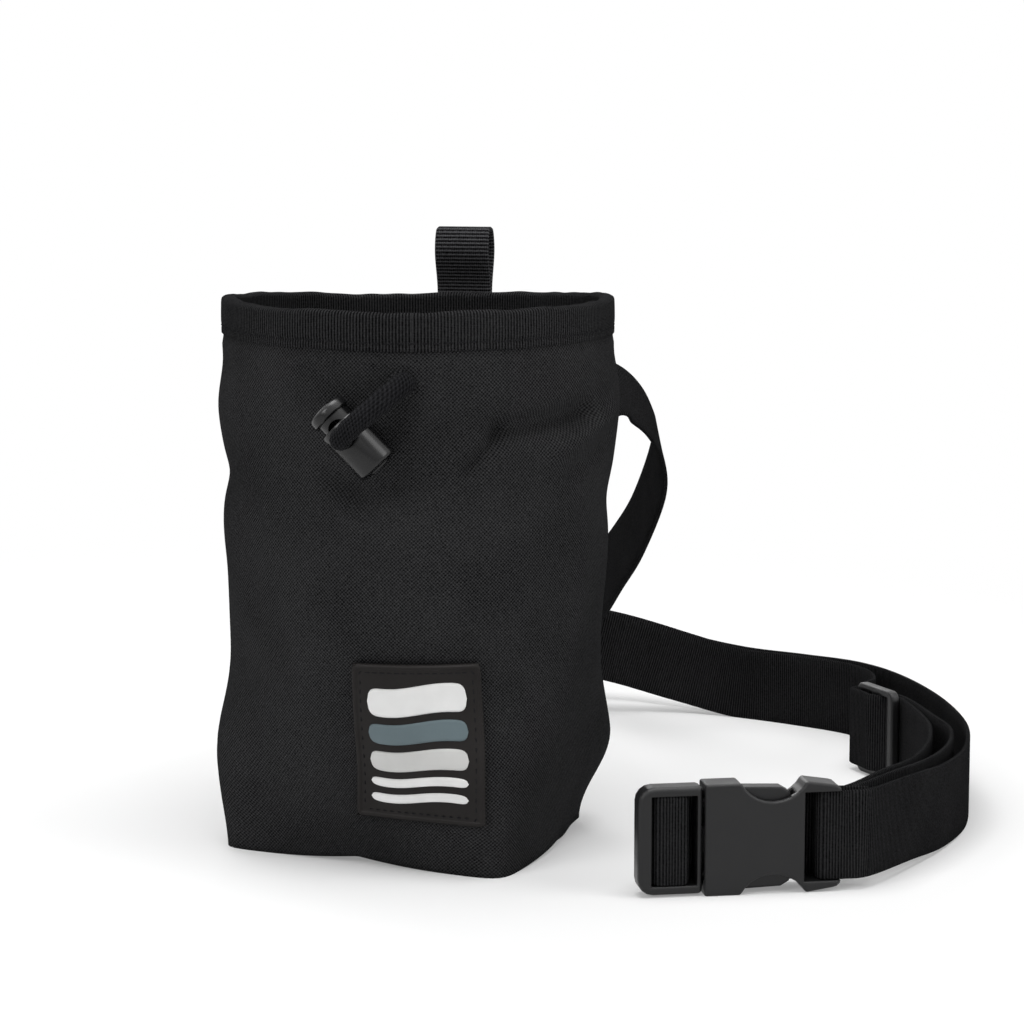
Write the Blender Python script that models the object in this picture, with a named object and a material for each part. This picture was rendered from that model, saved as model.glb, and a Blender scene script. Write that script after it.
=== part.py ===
"""A climbing chalk bag on a webbing waist belt, at its real size.

The bag is a round-mouthed fabric sack with a boxed base. Its rim is a hoop bound with grosgrain tape, a
drawcord with a barrel cord lock closes it, and a rubber label is sewn on the front. The belt passes through
a tunnel on the back, and ends in a side-release buckle with a slider that sets its length.

Frame: metres, +Z up, origin on the floor under the middle of the base, label towards -Y.
"""

import math

import bmesh
import bpy
from mathutils import Matrix, Vector

# Fit
GAP = 0.0003

# Bag
BAG_HEIGHT = 0.165
RIM_RADIUS = 0.0592
BASE_WIDTH = 0.095
BASE_DEPTH = 0.083
BASE_TURN = math.radians(-25)
BASE_SQUARENESS = 14.0
BASE_ROUND = 0.003
WALL_FULL = 0.50
SHELL_THICKNESS = 0.0010
LINING_THICKNESS = 0.0018
LINING_SLACK = 0.0066
WALL_SIDES = 72
RIM_SIDES = 48
WALL_LEVELS = 10

# Rim
BINDING_THICKNESS = 0.0008
BINDING_HEIGHT = 0.0110
HOOP_THICKNESS = 0.0010
HOOP_HEIGHT = 0.0080

# Drawcord and cord lock
CORD_DIAMETER = 0.0056
CORD_DROP = 0.0204
CORD_TURN = math.radians(-3)
EYELET_RIM = 0.0010
EYELET_THICKNESS = 0.0008
LOCK_RADIUS = 0.0064
LOCK_LENGTH = 0.0165
LOCK_WALL = 0.0012
LOCK_FLOOR = 0.0012
LOCK_DROP = 0.0370
LOCK_TURN = math.radians(-13.0)
LOCK_TILT = math.radians(-45)
LOCK_STANDOFF = 0.0012
PLUNGER_TRAVEL = 0.0026
PLUNGER_HEAD_LENGTH = 0.0036
PLUNGER_HEAD_RADIUS = 0.0060
PLUNGER_CLEARANCE = 0.00025
SPRING_WIRE = 0.0006
SPRING_TURNS = 3

# Label
LABEL_WIDTH = 0.0365
LABEL_HEIGHT = 0.048
LABEL_THICKNESS = 0.0016
LABEL_CENTRE_HEIGHT = 0.040
LABEL_TURN = math.radians(0.6)
EMBLEM_WIDTH = 0.0272
EMBLEM_HEIGHT = 0.0354
EMBLEM_THICKNESS = 0.0005

# Webbing on the back
BACK_TURN = math.radians(12.4)
WEBBING_WIDTH = 0.0254
WEBBING_THICKNESS = 0.0014
TUNNEL_WIDTH = 0.0320
TUNNEL_SEAM = 0.0050
TUNNEL_CLEARANCE = 0.0008
BELT_DROP = 0.0330
LOOP_WIDTH = 0.0175
LOOP_RISE = 0.0192
LOOP_GAP = 0.0086
LOOP_TAIL = 0.0100

# Buckle
BUCKLE_PLACE = Vector((0.0825, -0.0710, 0.0))
BUCKLE_TURN = math.radians(9)
BUCKLE_WIDTH = 0.0325
BUCKLE_THICKNESS = 0.0090
BUCKLE_WALL = 0.0019
SOCKET_LENGTH = 0.0400
SOCKET_PLATE_LENGTH = 0.0290
SOCKET_MOUTH = 0.0105
SOCKET_SIDE_WALL = 0.0032
THUMB_RADIUS = 0.0110
THUMB_DEPTH = 0.0056
PLUG_LENGTH = 0.0192
PLUG_BLOCK = 0.0015
PLUG_SEAM = 0.0005
PLUG_END_BAR = 0.0038
BAR_DIAMETER = 0.0034
PRONG_REACH = 0.0260
PRONG_ARM = 0.0028
PRONG_PIVOT_RADIUS = 0.0014
TONGUE_WIDTH = 0.0075
TONGUE_LENGTH = 0.0215
PRONG_SQUEEZE = math.radians(8)

# Slider
SLIDER_PLACE = Vector((0.1505, 0.0780, 0.0))
SLIDER_TURN = math.radians(-66)
SLIDER_HEIGHT = 0.0305
SLIDER_BAR = 0.0030
SLIDER_SLOT = 0.0068
SLIDER_THICKNESS = 0.0030

# Colours, roughness and metal
FINISHES = {
    "cordura": ((0.012, 0.012, 0.013), 0.85, 0.0),
    "fleece": ((0.010, 0.010, 0.010), 1.0, 0.0),
    "grosgrain": ((0.013, 0.013, 0.014), 0.7, 0.0),
    "webbing": ((0.010, 0.010, 0.011), 0.75, 0.0),
    "acetal": ((0.016, 0.016, 0.017), 0.42, 0.0),
    "label_rubber": ((0.030, 0.027, 0.025), 0.5, 0.0),
    "label_inlay": ((0.62, 0.62, 0.61), 0.5, 0.0),
    "cord": ((0.014, 0.014, 0.015), 0.9, 0.0),
    "spring_steel": ((0.60, 0.60, 0.62), 0.3, 1.0),
    "hoop_plastic": ((0.020, 0.020, 0.020), 0.5, 0.0),
}

UP = Vector((0, 0, 1))


def clear_scene():
    for obj in list(bpy.data.objects):
        bpy.data.objects.remove(obj, do_unlink=True)


def finish_material(name):
    found = bpy.data.materials.get(name)
    if found:
        return found
    colour, roughness, metallic = FINISHES[name]
    material = bpy.data.materials.new(name)
    material.use_nodes = True
    shader = material.node_tree.nodes["Principled BSDF"]
    shader.inputs["Base Color"].default_value = (*colour, 1)
    shader.inputs["Roughness"].default_value = roughness
    shader.inputs["Metallic"].default_value = metallic
    return material


def add_object(name, bm, finish=None, location=(0, 0, 0), matrix=None, smooth=True):
    """One named object from a bmesh; without a finish it is a hidden cutter."""
    bmesh.ops.recalc_face_normals(bm, faces=bm.faces)
    mesh = bpy.data.meshes.new(name)
    bm.to_mesh(mesh)
    bm.free()
    obj = bpy.data.objects.new(name, mesh)
    bpy.context.scene.collection.objects.link(obj)
    obj.location = location
    if matrix is not None:
        obj.matrix_world = matrix
    if finish is None:
        obj.hide_render = True
        obj.display_type = "WIRE"
        return obj
    mesh.materials.append(finish_material(finish))
    if smooth:
        mesh.shade_smooth()
        mesh.set_sharp_from_angle(angle=math.radians(35))
    return obj


def loft(rings):
    """A closed solid: rings of as many points each, bridged in order and closed at both ends."""
    bm = bmesh.new()
    loops = [[bm.verts.new(p) for p in ring] for ring in rings]
    skin_between(bm, loops)
    bm.faces.new(loops[0])
    bm.faces.new(loops[-1])
    return bm


def skin_between(bm, loops):
    """Join each loop of points to the next with a band of quads."""
    for first, second in zip(loops, loops[1:]):
        for a, b, c, d in zip(first, first[1:] + first[:1], second[1:] + second[:1], second):
            bm.faces.new((a, b, c, d))


def prism(outline, low, high):
    """An outline of (x, z) points, drawn along Y from low to high."""
    return loft([[Vector((x, low, z)) for x, z in outline], [Vector((x, high, z)) for x, z in outline]])


def box(low, high):
    (x0, y0, z0), (x1, y1, z1) = low, high
    return prism([(x0, z0), (x1, z0), (x1, z1), (x0, z1)], y0, y1)


def rod(start, end, radius, sides=16):
    """A round bar from start to end."""
    axis = end - start
    turn = axis.to_track_quat("Z", "Y").to_matrix()
    circle = [turn @ Vector((radius * math.cos(a), radius * math.sin(a), 0)) for a in angles(sides)]
    return loft([[start + p for p in circle], [end + p for p in circle]])


def angles(count):
    return [2 * math.pi * k / count for k in range(count)]


def arc(centre, radius, start, end, steps):
    """Points (x, z) on an arc, both ends included; angles in degrees."""
    turns = [math.radians(start + (end - start) * k / steps) for k in range(steps + 1)]
    return [(centre[0] + radius * math.cos(t), centre[1] + radius * math.sin(t)) for t in turns]


def rounded_box_outline(x0, z0, x1, z1, radius, steps=3):
    corners = [((x1 - radius, z1 - radius), 0), ((x0 + radius, z1 - radius), 90),
               ((x0 + radius, z0 + radius), 180), ((x1 - radius, z0 + radius), 270)]
    return [p for centre, start in corners for p in arc(centre, radius, start, start + 90, steps)]


def boolean(obj, other, operation):
    modifier = obj.modifiers.new(operation.title(), "BOOLEAN")
    modifier.operation = operation
    modifier.solver = "EXACT"
    modifier.object = other
    return obj


def bevel(obj, width, segments=2):
    modifier = obj.modifiers.new("Bevel", "BEVEL")
    modifier.width = width
    modifier.segments = segments
    modifier.limit_method = "ANGLE"
    modifier.angle_limit = math.radians(40)
    return obj


def smooth_path(points, per_span):
    """Points on a Catmull-Rom curve through the given ones, per_span to each span."""
    ends = [2 * points[0] - points[1], *points, 2 * points[-1] - points[-2]]
    path = []
    for a, b, c, d in zip(ends, ends[1:], ends[2:], ends[3:]):
        for k in range(per_span):
            t = k / per_span
            path.append(0.5 * (2 * b + (c - a) * t + (2 * a - 5 * b + 4 * c - d) * t**2
                               + (3 * b - a - 3 * c + d) * t**3))
    return [*path, points[-1]]


def directions(path):
    pairs = zip([path[0], *path[:-1]], [*path[1:], path[-1]])
    return [(after - before).normalized() for before, after in pairs]


def ribbon(name, stations, width, per_span=3):
    """Webbing through stations of (centre, direction of its width), as one flat closed band."""
    path = smooth_path([centre for centre, across in stations], per_span)
    sides = smooth_path([across for centre, across in stations], per_span)
    rings = []
    for point, along, across in zip(path, directions(path), sides):
        across = (across - along * across.dot(along)).normalized()
        out = along.cross(across) * (WEBBING_THICKNESS / 2)
        across = across * (width / 2)
        rings.append([point - across - out, point + across - out, point + across + out, point - across + out])
    return add_object(name, loft(rings), "webbing")


# The wall of the bag

RIM_STACK = BINDING_THICKNESS + GAP
SHELL_RADIUS = RIM_RADIUS - RIM_STACK
HOOP_OUTER = SHELL_RADIUS - SHELL_THICKNESS - GAP
LINING_OUTER = HOOP_OUTER - HOOP_THICKNESS - GAP
BINDING_INNER = LINING_OUTER - LINING_THICKNESS - GAP - BINDING_THICKNESS
RIM_CROWN = 0.28 * (RIM_RADIUS - BINDING_INNER)
SHELL_TOP = BAG_HEIGHT - RIM_CROWN - GAP
CORD_HEIGHT = BAG_HEIGHT - CORD_DROP


def ease(t):
    t = min(max(t, 0.0), 1.0)
    return t * t * (3 - 2 * t)


def wall_radius(turn, height):
    """The outside of the shell, from the turned box of the base to the round mouth; turn 0 faces -Y."""
    rise = height / SHELL_TOP
    share = ease(rise / WALL_FULL) ** 0.8
    half_width = BASE_WIDTH / 2 + (SHELL_RADIUS - BASE_WIDTH / 2) * share
    half_depth = BASE_DEPTH / 2 + (SHELL_RADIUS - BASE_DEPTH / 2) * share
    power = 2 + (BASE_SQUARENESS - 2) * (1 - share) ** 3
    x = abs(math.sin(turn - BASE_TURN)) / half_width
    y = abs(math.cos(turn - BASE_TURN)) / half_depth
    return (x**power + y**power) ** (-1 / power)


def wall_point(turn, height, outset=0.0):
    radius = wall_radius(turn, height) + outset
    return Vector((radius * math.sin(turn), -radius * math.cos(turn), height))


def wall_cup(inset, floor, top):
    """An open cup that follows the wall; inset is a function of height."""
    bm = bmesh.new()
    tape = BAG_HEIGHT - BINDING_HEIGHT - GAP
    neck = (tape + CORD_HEIGHT) / 2
    heights = [floor + (neck - floor) * (k / WALL_LEVELS) ** 1.1 for k in range(WALL_LEVELS + 1)]
    heights += [tape, top]
    first = [bm.verts.new(wall_point(t, heights[0], -inset(heights[0]) - BASE_ROUND))
             for t in angles(WALL_SIDES)]
    bm.faces.new(first)
    edges = list(bm.edges)
    heights[0] += BASE_ROUND
    for height in heights:
        made = bmesh.ops.extrude_edge_only(bm, edges=edges)["geom"]
        edges = [e for e in made if isinstance(e, bmesh.types.BMEdge)]
        for vert in {v for e in edges for v in e.verts}:
            turn = math.atan2(vert.co.x, -vert.co.y)
            vert.co = wall_point(turn, height, -inset(height))
    return bm


def thicken(obj, thickness):
    modifier = obj.modifiers.new("Thickness", "SOLIDIFY")
    modifier.thickness = thickness
    modifier.offset = -1
    modifier.use_even_offset = True
    return obj


def turned_ring(name, profile, finish):
    """A ring turned about Z from a closed profile of (radius, height) points."""
    bm = bmesh.new()
    verts = [bm.verts.new((radius, 0, height)) for radius, height in profile]
    face = bm.faces.new(verts)
    bmesh.ops.spin(bm, geom=list(face.edges) + verts, cent=(0, 0, 0), axis=UP, angle=2 * math.pi,
                   steps=RIM_SIDES, use_merge=True)
    bm.faces.remove(next(f for f in bm.faces if len(f.verts) == len(profile)))
    return add_object(name, bm, finish)


EYELET_RADIUS = CORD_DIAMETER / 2 + 5 * GAP


def eyelet_axis():
    place = wall_point(CORD_TURN, CORD_HEIGHT)
    outward = Vector((math.sin(CORD_TURN), -math.cos(CORD_TURN), 0))
    return place, outward


def make_shell():
    shell = add_object("outer_shell", wall_cup(lambda height: 0.0, 0.0, SHELL_TOP), "cordura")
    thicken(shell, SHELL_THICKNESS)
    place, outward = eyelet_axis()
    reach = outward * (LINING_SLACK + EYELET_THICKNESS)
    hole = add_object("eyelet_hole", rod(place - reach, place + reach, EYELET_RADIUS + EYELET_RIM / 2 + GAP))
    boolean(shell, hole, "DIFFERENCE")


def lining_inset(height):
    """The lining hangs clear of the shell below the rim, which leaves the channel for the drawcord."""
    at_rim = SHELL_RADIUS - LINING_OUTER
    at_base = 1.5 * (SHELL_THICKNESS + GAP)
    below_tape = BAG_HEIGHT - BINDING_HEIGHT - GAP
    drop = ease((below_tape - height) / (0.5 * (below_tape - CORD_HEIGHT)))
    channel = at_rim + LINING_SLACK * drop
    return at_base + (channel - at_base) * ease((height / SHELL_TOP - 0.1) / 0.5)


def make_lining():
    floor = SHELL_THICKNESS + GAP
    lining = add_object("fleece_lining", wall_cup(lining_inset, floor, SHELL_TOP), "fleece")
    thicken(lining, LINING_THICKNESS)


def make_rim():
    top = BAG_HEIGHT
    low = BAG_HEIGHT - BINDING_HEIGHT
    inner_low = low + BINDING_THICKNESS
    middle = (RIM_RADIUS + BINDING_INNER) / 2
    half = (RIM_RADIUS - BINDING_INNER) / 2
    over = arc((middle, 0), 1, 0, 180, 4)
    outside = [(middle + half * (x - middle), top - RIM_CROWN + RIM_CROWN * z) for x, z in over]
    wall = half - BINDING_THICKNESS
    inside = [(middle + wall * (x - middle), top - RIM_CROWN + (RIM_CROWN - BINDING_THICKNESS) * z)
              for x, z in over]
    profile = [(RIM_RADIUS, low), *outside, (BINDING_INNER, inner_low),
               (BINDING_INNER + BINDING_THICKNESS, inner_low), *reversed(inside),
               (RIM_RADIUS - BINDING_THICKNESS, low)]
    turned_ring("rim_binding", profile, "grosgrain")
    hoop_top = SHELL_TOP
    hoop = [(HOOP_OUTER, hoop_top - HOOP_HEIGHT), (HOOP_OUTER, hoop_top),
            (HOOP_OUTER - HOOP_THICKNESS, hoop_top), (HOOP_OUTER - HOOP_THICKNESS, hoop_top - HOOP_HEIGHT)]
    turned_ring("rim_hoop", hoop, "hoop_plastic")


def along_wall(turn, height, distance, steps=12):
    """The turn that lies a distance along the wall from another turn."""
    small = 0.001
    for _ in range(steps):
        speed = (wall_point(turn + small, height) - wall_point(turn, height)).length / small
        turn += distance / steps / speed
    return turn


def wall_patch(name, turn, width, heights, near, far, columns, finish):
    """A piece laid on the wall: near and far are functions of height, the outsets of its two faces."""
    rings = []
    for column in range(columns + 1):
        across = width * (column / columns - 0.5)
        ring = []
        for outset, row in ((near, heights), (far, heights[::-1])):
            for height in row:
                ring.append(wall_point(along_wall(turn, height, across), height, outset(height)))
        rings.append(ring)
    return add_object(name, loft(rings), finish)


def steps_between(low, high, count):
    return [low + (high - low) * k / count for k in range(count + 1)]


def make_label():
    low = LABEL_CENTRE_HEIGHT - LABEL_HEIGHT / 2
    heights = steps_between(low, low + LABEL_HEIGHT, 8)
    seat = 3 * GAP
    face = seat + LABEL_THICKNESS
    wall_patch("label_patch", LABEL_TURN, LABEL_WIDTH, heights, lambda height: seat, lambda height: face, 8,
               "label_rubber")
    base = LABEL_CENTRE_HEIGHT - EMBLEM_HEIGHT / 2
    rows = steps_between(base, base + EMBLEM_HEIGHT, 8)
    back = face + 2 * GAP
    wall_patch("label_emblem", LABEL_TURN, EMBLEM_WIDTH, rows, lambda height: back,
               lambda height: back + EMBLEM_THICKNESS, 8, "label_inlay")


BELT_HEIGHT = BAG_HEIGHT - BELT_DROP
BACK = math.pi - BACK_TURN
BELT_SEAT = GAP + TUNNEL_CLEARANCE


def make_tunnel():
    reach = WEBBING_WIDTH / 2 + TUNNEL_CLEARANCE
    slope = 0.0016
    heights = [BELT_HEIGHT - reach - slope - TUNNEL_SEAM, BELT_HEIGHT - reach - slope, BELT_HEIGHT - reach,
               BELT_HEIGHT, BELT_HEIGHT + reach, BELT_HEIGHT + reach + slope,
               BELT_HEIGHT + reach + slope + TUNNEL_SEAM]

    def near(height):
        lift = WEBBING_THICKNESS + 2 * TUNNEL_CLEARANCE
        return GAP + lift * ease((reach + slope - abs(height - BELT_HEIGHT)) / slope)

    wall_patch("belt_tunnel", BACK, TUNNEL_WIDTH, heights, near,
               lambda height: near(height) + WEBBING_THICKNESS, 10, "webbing")


def make_hang_loop():
    outward = Vector((math.sin(BACK), -math.cos(BACK), 0))
    across = UP.cross(outward)
    inner = RIM_RADIUS + GAP + WEBBING_THICKNESS / 2
    outer = inner + WEBBING_THICKNESS + 2 * GAP
    middle = (inner + outer) / 2
    low = BAG_HEIGHT - LOOP_TAIL
    high = BAG_HEIGHT + LOOP_RISE - WEBBING_THICKNESS / 2
    spread = LOOP_GAP / 2
    profile = [(inner, low), (inner, BAG_HEIGHT), (middle - spread, BAG_HEIGHT + 0.55 * LOOP_RISE),
               (middle - 0.7 * spread, high - 0.3 * spread), (middle, high),
               (middle + 0.7 * spread, high - 0.3 * spread),
               (middle + spread, BAG_HEIGHT + 0.55 * LOOP_RISE), (outer, BAG_HEIGHT), (outer, low)]
    ribbon("hang_loop", [(outward * r + UP * z, across) for r, z in profile], LOOP_WIDTH, per_span=2)


# The drawcord, its eyelet and its lock

CORD_INSET = SHELL_THICKNESS + 2 * GAP + CORD_DIAMETER / 2
LOCK_HOLE = CORD_DIAMETER / 2 + GAP
LOCK_HOLE_PLACE = 0.0040
LOCK_SEAT = LOCK_RADIUS + LOCK_STANDOFF


def lock_frame():
    """Along the barrel towards the plunger is Z; the cord passes along Y, which points into the bag."""
    outward = Vector((math.sin(LOCK_TURN), -math.cos(LOCK_TURN), 0))
    right = UP.cross(outward)
    along = right * math.sin(LOCK_TILT) + UP * math.cos(LOCK_TILT)
    side = (-outward).cross(along)
    place = wall_point(LOCK_TURN, BAG_HEIGHT - LOCK_DROP) + outward * LOCK_SEAT
    return Matrix((side, -outward, along)).transposed().to_4x4(), place


def make_eyelet():
    place, outward = eyelet_axis()
    turn = outward.to_track_quat("Z", "Y").to_matrix()
    outer = EYELET_RADIUS + EYELET_RIM
    neck = EYELET_RADIUS + EYELET_RIM / 2
    depth = SHELL_THICKNESS + GAP
    lip = GAP + EYELET_THICKNESS
    profile = [(EYELET_RADIUS, -depth), (neck, -depth), (neck, GAP), (outer, GAP),
               (outer, lip - EYELET_THICKNESS / 3), (outer - EYELET_RIM / 3, lip), (EYELET_RADIUS, lip)]
    rings = []
    for angle in angles(20):
        spoke = Vector((math.cos(angle), math.sin(angle), 0))
        rings.append([place + turn @ (spoke * r + UP * h) for r, h in profile])
    bm = bmesh.new()
    loops = [[bm.verts.new(p) for p in ring] for ring in rings]
    skin_between(bm, loops + loops[:1])
    add_object("cord_eyelet", bm, "acetal")


def make_drawcord():
    ring = [wall_point(CORD_TURN + math.radians(18 + 12 * k), CORD_HEIGHT, -CORD_INSET) for k in range(28)]
    place, outward = eyelet_axis()
    frame, lock = lock_frame()
    into_bag = frame.col[1].to_3d()
    through = lock + frame.col[2].to_3d() * LOCK_HOLE_PLACE
    front = through - into_bag * (LOCK_RADIUS + CORD_DIAMETER * 0.62)
    clear_of_lock = place.lerp(front, 0.62) - into_bag * 0.0045
    stations = [*ring, place - outward * 0.0030, place, place + outward * 0.0040, clear_of_lock, front,
                through - into_bag * LOCK_RADIUS * 0.55, through,
                through + into_bag * (LOCK_RADIUS - 2 * GAP)]
    path = smooth_path(stations, 2)
    along = directions(path)
    side = UP
    rings = []
    for point, forward in zip(path, along):
        side = (side - forward * side.dot(forward)).normalized()
        other = forward.cross(side)
        rings.append([point + (side * math.cos(a) + other * math.sin(a)) * CORD_DIAMETER / 2
                      for a in angles(8)])
    add_object("drawcord", loft(rings), "cord")


def turned_solid(profile, sides=24):
    """A solid turned about Z from (radius, height) points, from its lower middle to its upper middle."""
    rings = [[Vector((r * math.cos(a), r * math.sin(a), h)) for a in angles(sides)] for r, h in profile]
    return loft(rings)


def make_cord_lock():
    frame, place = lock_frame()
    pose = Matrix.Translation(place) @ frame
    half = LOCK_LENGTH / 2
    edge = 0.0007
    barrel = add_object("cord_lock_barrel", turned_solid([
        (LOCK_RADIUS - 3 * edge, -half), (LOCK_RADIUS - edge, -half + 0.6 * edge),
        (LOCK_RADIUS, -half + 2 * edge), (LOCK_RADIUS, half - edge), (LOCK_RADIUS - edge, half)]),
        "acetal", matrix=pose)
    bore = LOCK_RADIUS - LOCK_WALL
    floor = -half + LOCK_FLOOR
    cutter = add_object("lock_bore", turned_solid([(bore, floor), (bore, half + edge)]), matrix=pose)
    across = Vector((0, 2 * LOCK_RADIUS, 0))
    centre = Vector((0, 0, LOCK_HOLE_PLACE))
    hole = add_object("lock_hole", rod(centre - across, centre + across, LOCK_HOLE, 20), matrix=pose)
    boolean(barrel, cutter, "DIFFERENCE")
    boolean(barrel, hole, "DIFFERENCE")

    shaft = bore - PLUNGER_CLEARANCE
    foot = LOCK_HOLE_PLACE - LOCK_HOLE - 0.0008
    head = half + PLUNGER_TRAVEL + GAP
    tip = head + PLUNGER_HEAD_LENGTH
    plunger = add_object("cord_lock_plunger", turned_solid([
        (shaft, foot), (shaft, head), (PLUNGER_HEAD_RADIUS, head), (PLUNGER_HEAD_RADIUS, tip - 2 * edge),
        (PLUNGER_HEAD_RADIUS - edge, tip - 0.6 * edge), (PLUNGER_HEAD_RADIUS - 3 * edge, tip)]),
        "acetal", matrix=pose)
    low = LOCK_HOLE_PLACE - LOCK_HOLE
    slot = prism(rounded_box_outline(-LOCK_HOLE, low, LOCK_HOLE, low + 2 * LOCK_HOLE + PLUNGER_TRAVEL,
                                     LOCK_HOLE - 0.0001, 4), -2 * LOCK_RADIUS, 2 * LOCK_RADIUS)
    boolean(plunger, add_object("plunger_slot", slot, matrix=pose), "DIFFERENCE")

    coil = shaft - SPRING_WIRE
    count = 14 * SPRING_TURNS
    start = floor + GAP + SPRING_WIRE / 2
    rise = foot - GAP - SPRING_WIRE / 2 - start
    path = [Vector((coil * math.cos(2 * math.pi * k / 14), coil * math.sin(2 * math.pi * k / 14),
                    start + rise * k / count)) for k in range(count + 1)]
    rings = []
    for point in path:
        spoke = Vector((point.x, point.y, 0)).normalized()
        rings.append([point + (spoke * math.cos(a) + UP * math.sin(a)) * SPRING_WIRE / 2 for a in angles(6)])
    add_object("cord_lock_spring", loft(rings), "spring_steel", matrix=pose)


# The buckle: X along the belt from plug to socket with 0 at the seam, Y into the loop of the belt, Z up

BUCKLE_POSE = Matrix.Translation(BUCKLE_PLACE + UP * BUCKLE_WIDTH / 2) @ Matrix.Rotation(BUCKLE_TURN, 4, "Z")
HALF_WIDTH = BUCKLE_WIDTH / 2
HALF_THICK = BUCKLE_THICKNESS / 2
WEB_SLOT = WEBBING_WIDTH / 2 + 0.0004
CAVITY_HALF = HALF_THICK - BUCKLE_WALL
CAVITY_WIDTH = HALF_WIDTH - SOCKET_SIDE_WALL
SOCKET_BAR_PLACE = SOCKET_LENGTH - BAR_DIAMETER / 2 - 0.0012
PLUG_HALF = HALF_WIDTH - 0.0006
PLUG_BAR = 0.0064
PLUG_BAR_PLACE = -(PLUG_SEAM + PLUG_BLOCK + 0.0042 + PLUG_BAR / 2)


def make_socket():
    above = THUMB_RADIUS - THUMB_DEPTH
    tilt = math.degrees(math.asin(above / THUMB_RADIUS))
    reach = math.sqrt(THUMB_RADIUS**2 - above**2)
    scoop = arc((SOCKET_MOUTH + reach, HALF_WIDTH + above), THUMB_RADIUS, 180 + tilt, 360 - tilt, 10)
    ear = 0.0024
    upper = [(0, HALF_WIDTH), *scoop, *arc((SOCKET_LENGTH - ear, HALF_WIDTH - 0.0012 - ear), ear, 90, 0, 3)]
    upper[1:1] = [(SOCKET_MOUTH - 0.0006, HALF_WIDTH)]
    lower = [(x, -z) for x, z in reversed(upper)]
    socket = add_object("buckle_socket", prism(upper + lower, -HALF_THICK, HALF_THICK), "acetal",
                        matrix=BUCKLE_POSE)
    bevel(socket, 0.0012)
    depth = SOCKET_PLATE_LENGTH - 0.0022
    cavity = box((-0.002, -CAVITY_HALF, -CAVITY_WIDTH), (depth, CAVITY_HALF, CAVITY_WIDTH))
    boolean(socket, add_object("socket_cavity", cavity, matrix=BUCKLE_POSE), "DIFFERENCE")
    room = box((SOCKET_MOUTH, -CAVITY_HALF, -HALF_WIDTH - 0.002), (depth, CAVITY_HALF, HALF_WIDTH + 0.002))
    boolean(socket, add_object("socket_windows", room, matrix=BUCKLE_POSE), "DIFFERENCE")
    behind = SOCKET_BAR_PLACE - BAR_DIAMETER / 2
    slot = box((SOCKET_PLATE_LENGTH, -HALF_THICK - 0.001, -WEB_SLOT), (behind, HALF_THICK + 0.001, WEB_SLOT))
    boolean(socket, add_object("socket_slot", slot, matrix=BUCKLE_POSE), "DIFFERENCE")
    for side in (-1, 1):
        y0, y1 = sorted((side * BAR_DIAMETER / 2, side * (HALF_THICK + 0.001)))
        relief = box((behind - 0.0005, y0, -WEB_SLOT), (SOCKET_LENGTH + 0.001, y1, WEB_SLOT))
        boolean(socket, add_object(f"socket_relief_{side}", relief, matrix=BUCKLE_POSE), "DIFFERENCE")


def make_plug():
    seam = -PLUG_SEAM
    end = -PLUG_LENGTH
    block = seam - PLUG_BLOCK
    rail = PLUG_HALF - WEB_SLOT
    corner = 0.0045
    outline = [(seam, PLUG_HALF), *arc((end + corner, PLUG_HALF - corner), corner, 90, 180, 4)]
    outline += [(x, -z) for x, z in reversed(outline)]
    thick = HALF_THICK - 0.0008
    plug = add_object("buckle_plug", prism(outline, -thick, thick), "acetal", matrix=BUCKLE_POSE)
    bevel(plug, 0.0012)
    bar_right = PLUG_BAR_PLACE + PLUG_BAR / 2
    bar_left = PLUG_BAR_PLACE - PLUG_BAR / 2
    end_bar = end + PLUG_END_BAR
    deep = thick + 0.001
    for name, x0, x1 in (("inner_slot", bar_right, block), ("outer_slot", end_bar, bar_left)):
        slot = box((x0, -deep, -WEB_SLOT), (x1, deep, WEB_SLOT))
        boolean(plug, add_object(name, slot, matrix=BUCKLE_POSE), "DIFFERENCE")
    for side in (-1, 1):
        y0, y1 = sorted((side * BAR_DIAMETER / 2, side * deep))
        relief = box((bar_left - 0.0005, y0, -WEB_SLOT), (bar_right + 0.0005, y1, WEB_SLOT))
        boolean(plug, add_object(f"plug_relief_{side}", relief, matrix=BUCKLE_POSE), "DIFFERENCE")
    tongue_half = TONGUE_WIDTH / 2
    flat = CAVITY_HALF - GAP
    tongue = box((block + 0.0002, -flat, -tongue_half), (TONGUE_LENGTH, flat, tongue_half))
    boolean(plug, add_object("plug_tongue", tongue, matrix=BUCKLE_POSE), "UNION")


PRONG_PIVOT = (-PLUG_SEAM + GAP + PRONG_PIVOT_RADIUS, CAVITY_WIDTH - 2 * GAP - PRONG_PIVOT_RADIUS - 0.0010)


def make_prong(name, side):
    """A sprung arm from its root in the plug, with a pad that locks behind the mouth of the socket."""
    x, z = PRONG_PIVOT
    top = CAVITY_WIDTH - 2 * GAP
    shoulder = SOCKET_MOUTH + GAP
    pad_top = HALF_WIDTH - 0.0014
    tip = PRONG_REACH
    outline = arc((x, z), PRONG_PIVOT_RADIUS, 270, 90, 6)
    outline += [(shoulder - 0.0012, top - 0.0004), (shoulder, top), (shoulder, pad_top - 0.0004),
                (shoulder + 0.0006, pad_top), (tip - 0.0034, pad_top - 0.0004),
                (tip - 0.0010, pad_top - 0.0018),
                (tip, pad_top - 0.0042), (tip - 0.0008, top - 0.0010 - PRONG_ARM),
                (shoulder, top - 0.0008 - PRONG_ARM)]
    outline = [(a - x, side * (b - z)) for a, b in outline]
    flat = CAVITY_HALF - GAP
    pose = BUCKLE_POSE @ Matrix.Translation((x, 0, side * z))
    add_object(name, prism(outline, -flat, flat), "acetal", matrix=pose)


# The slider: X along the webbing, Y across the frame, Z up

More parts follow.
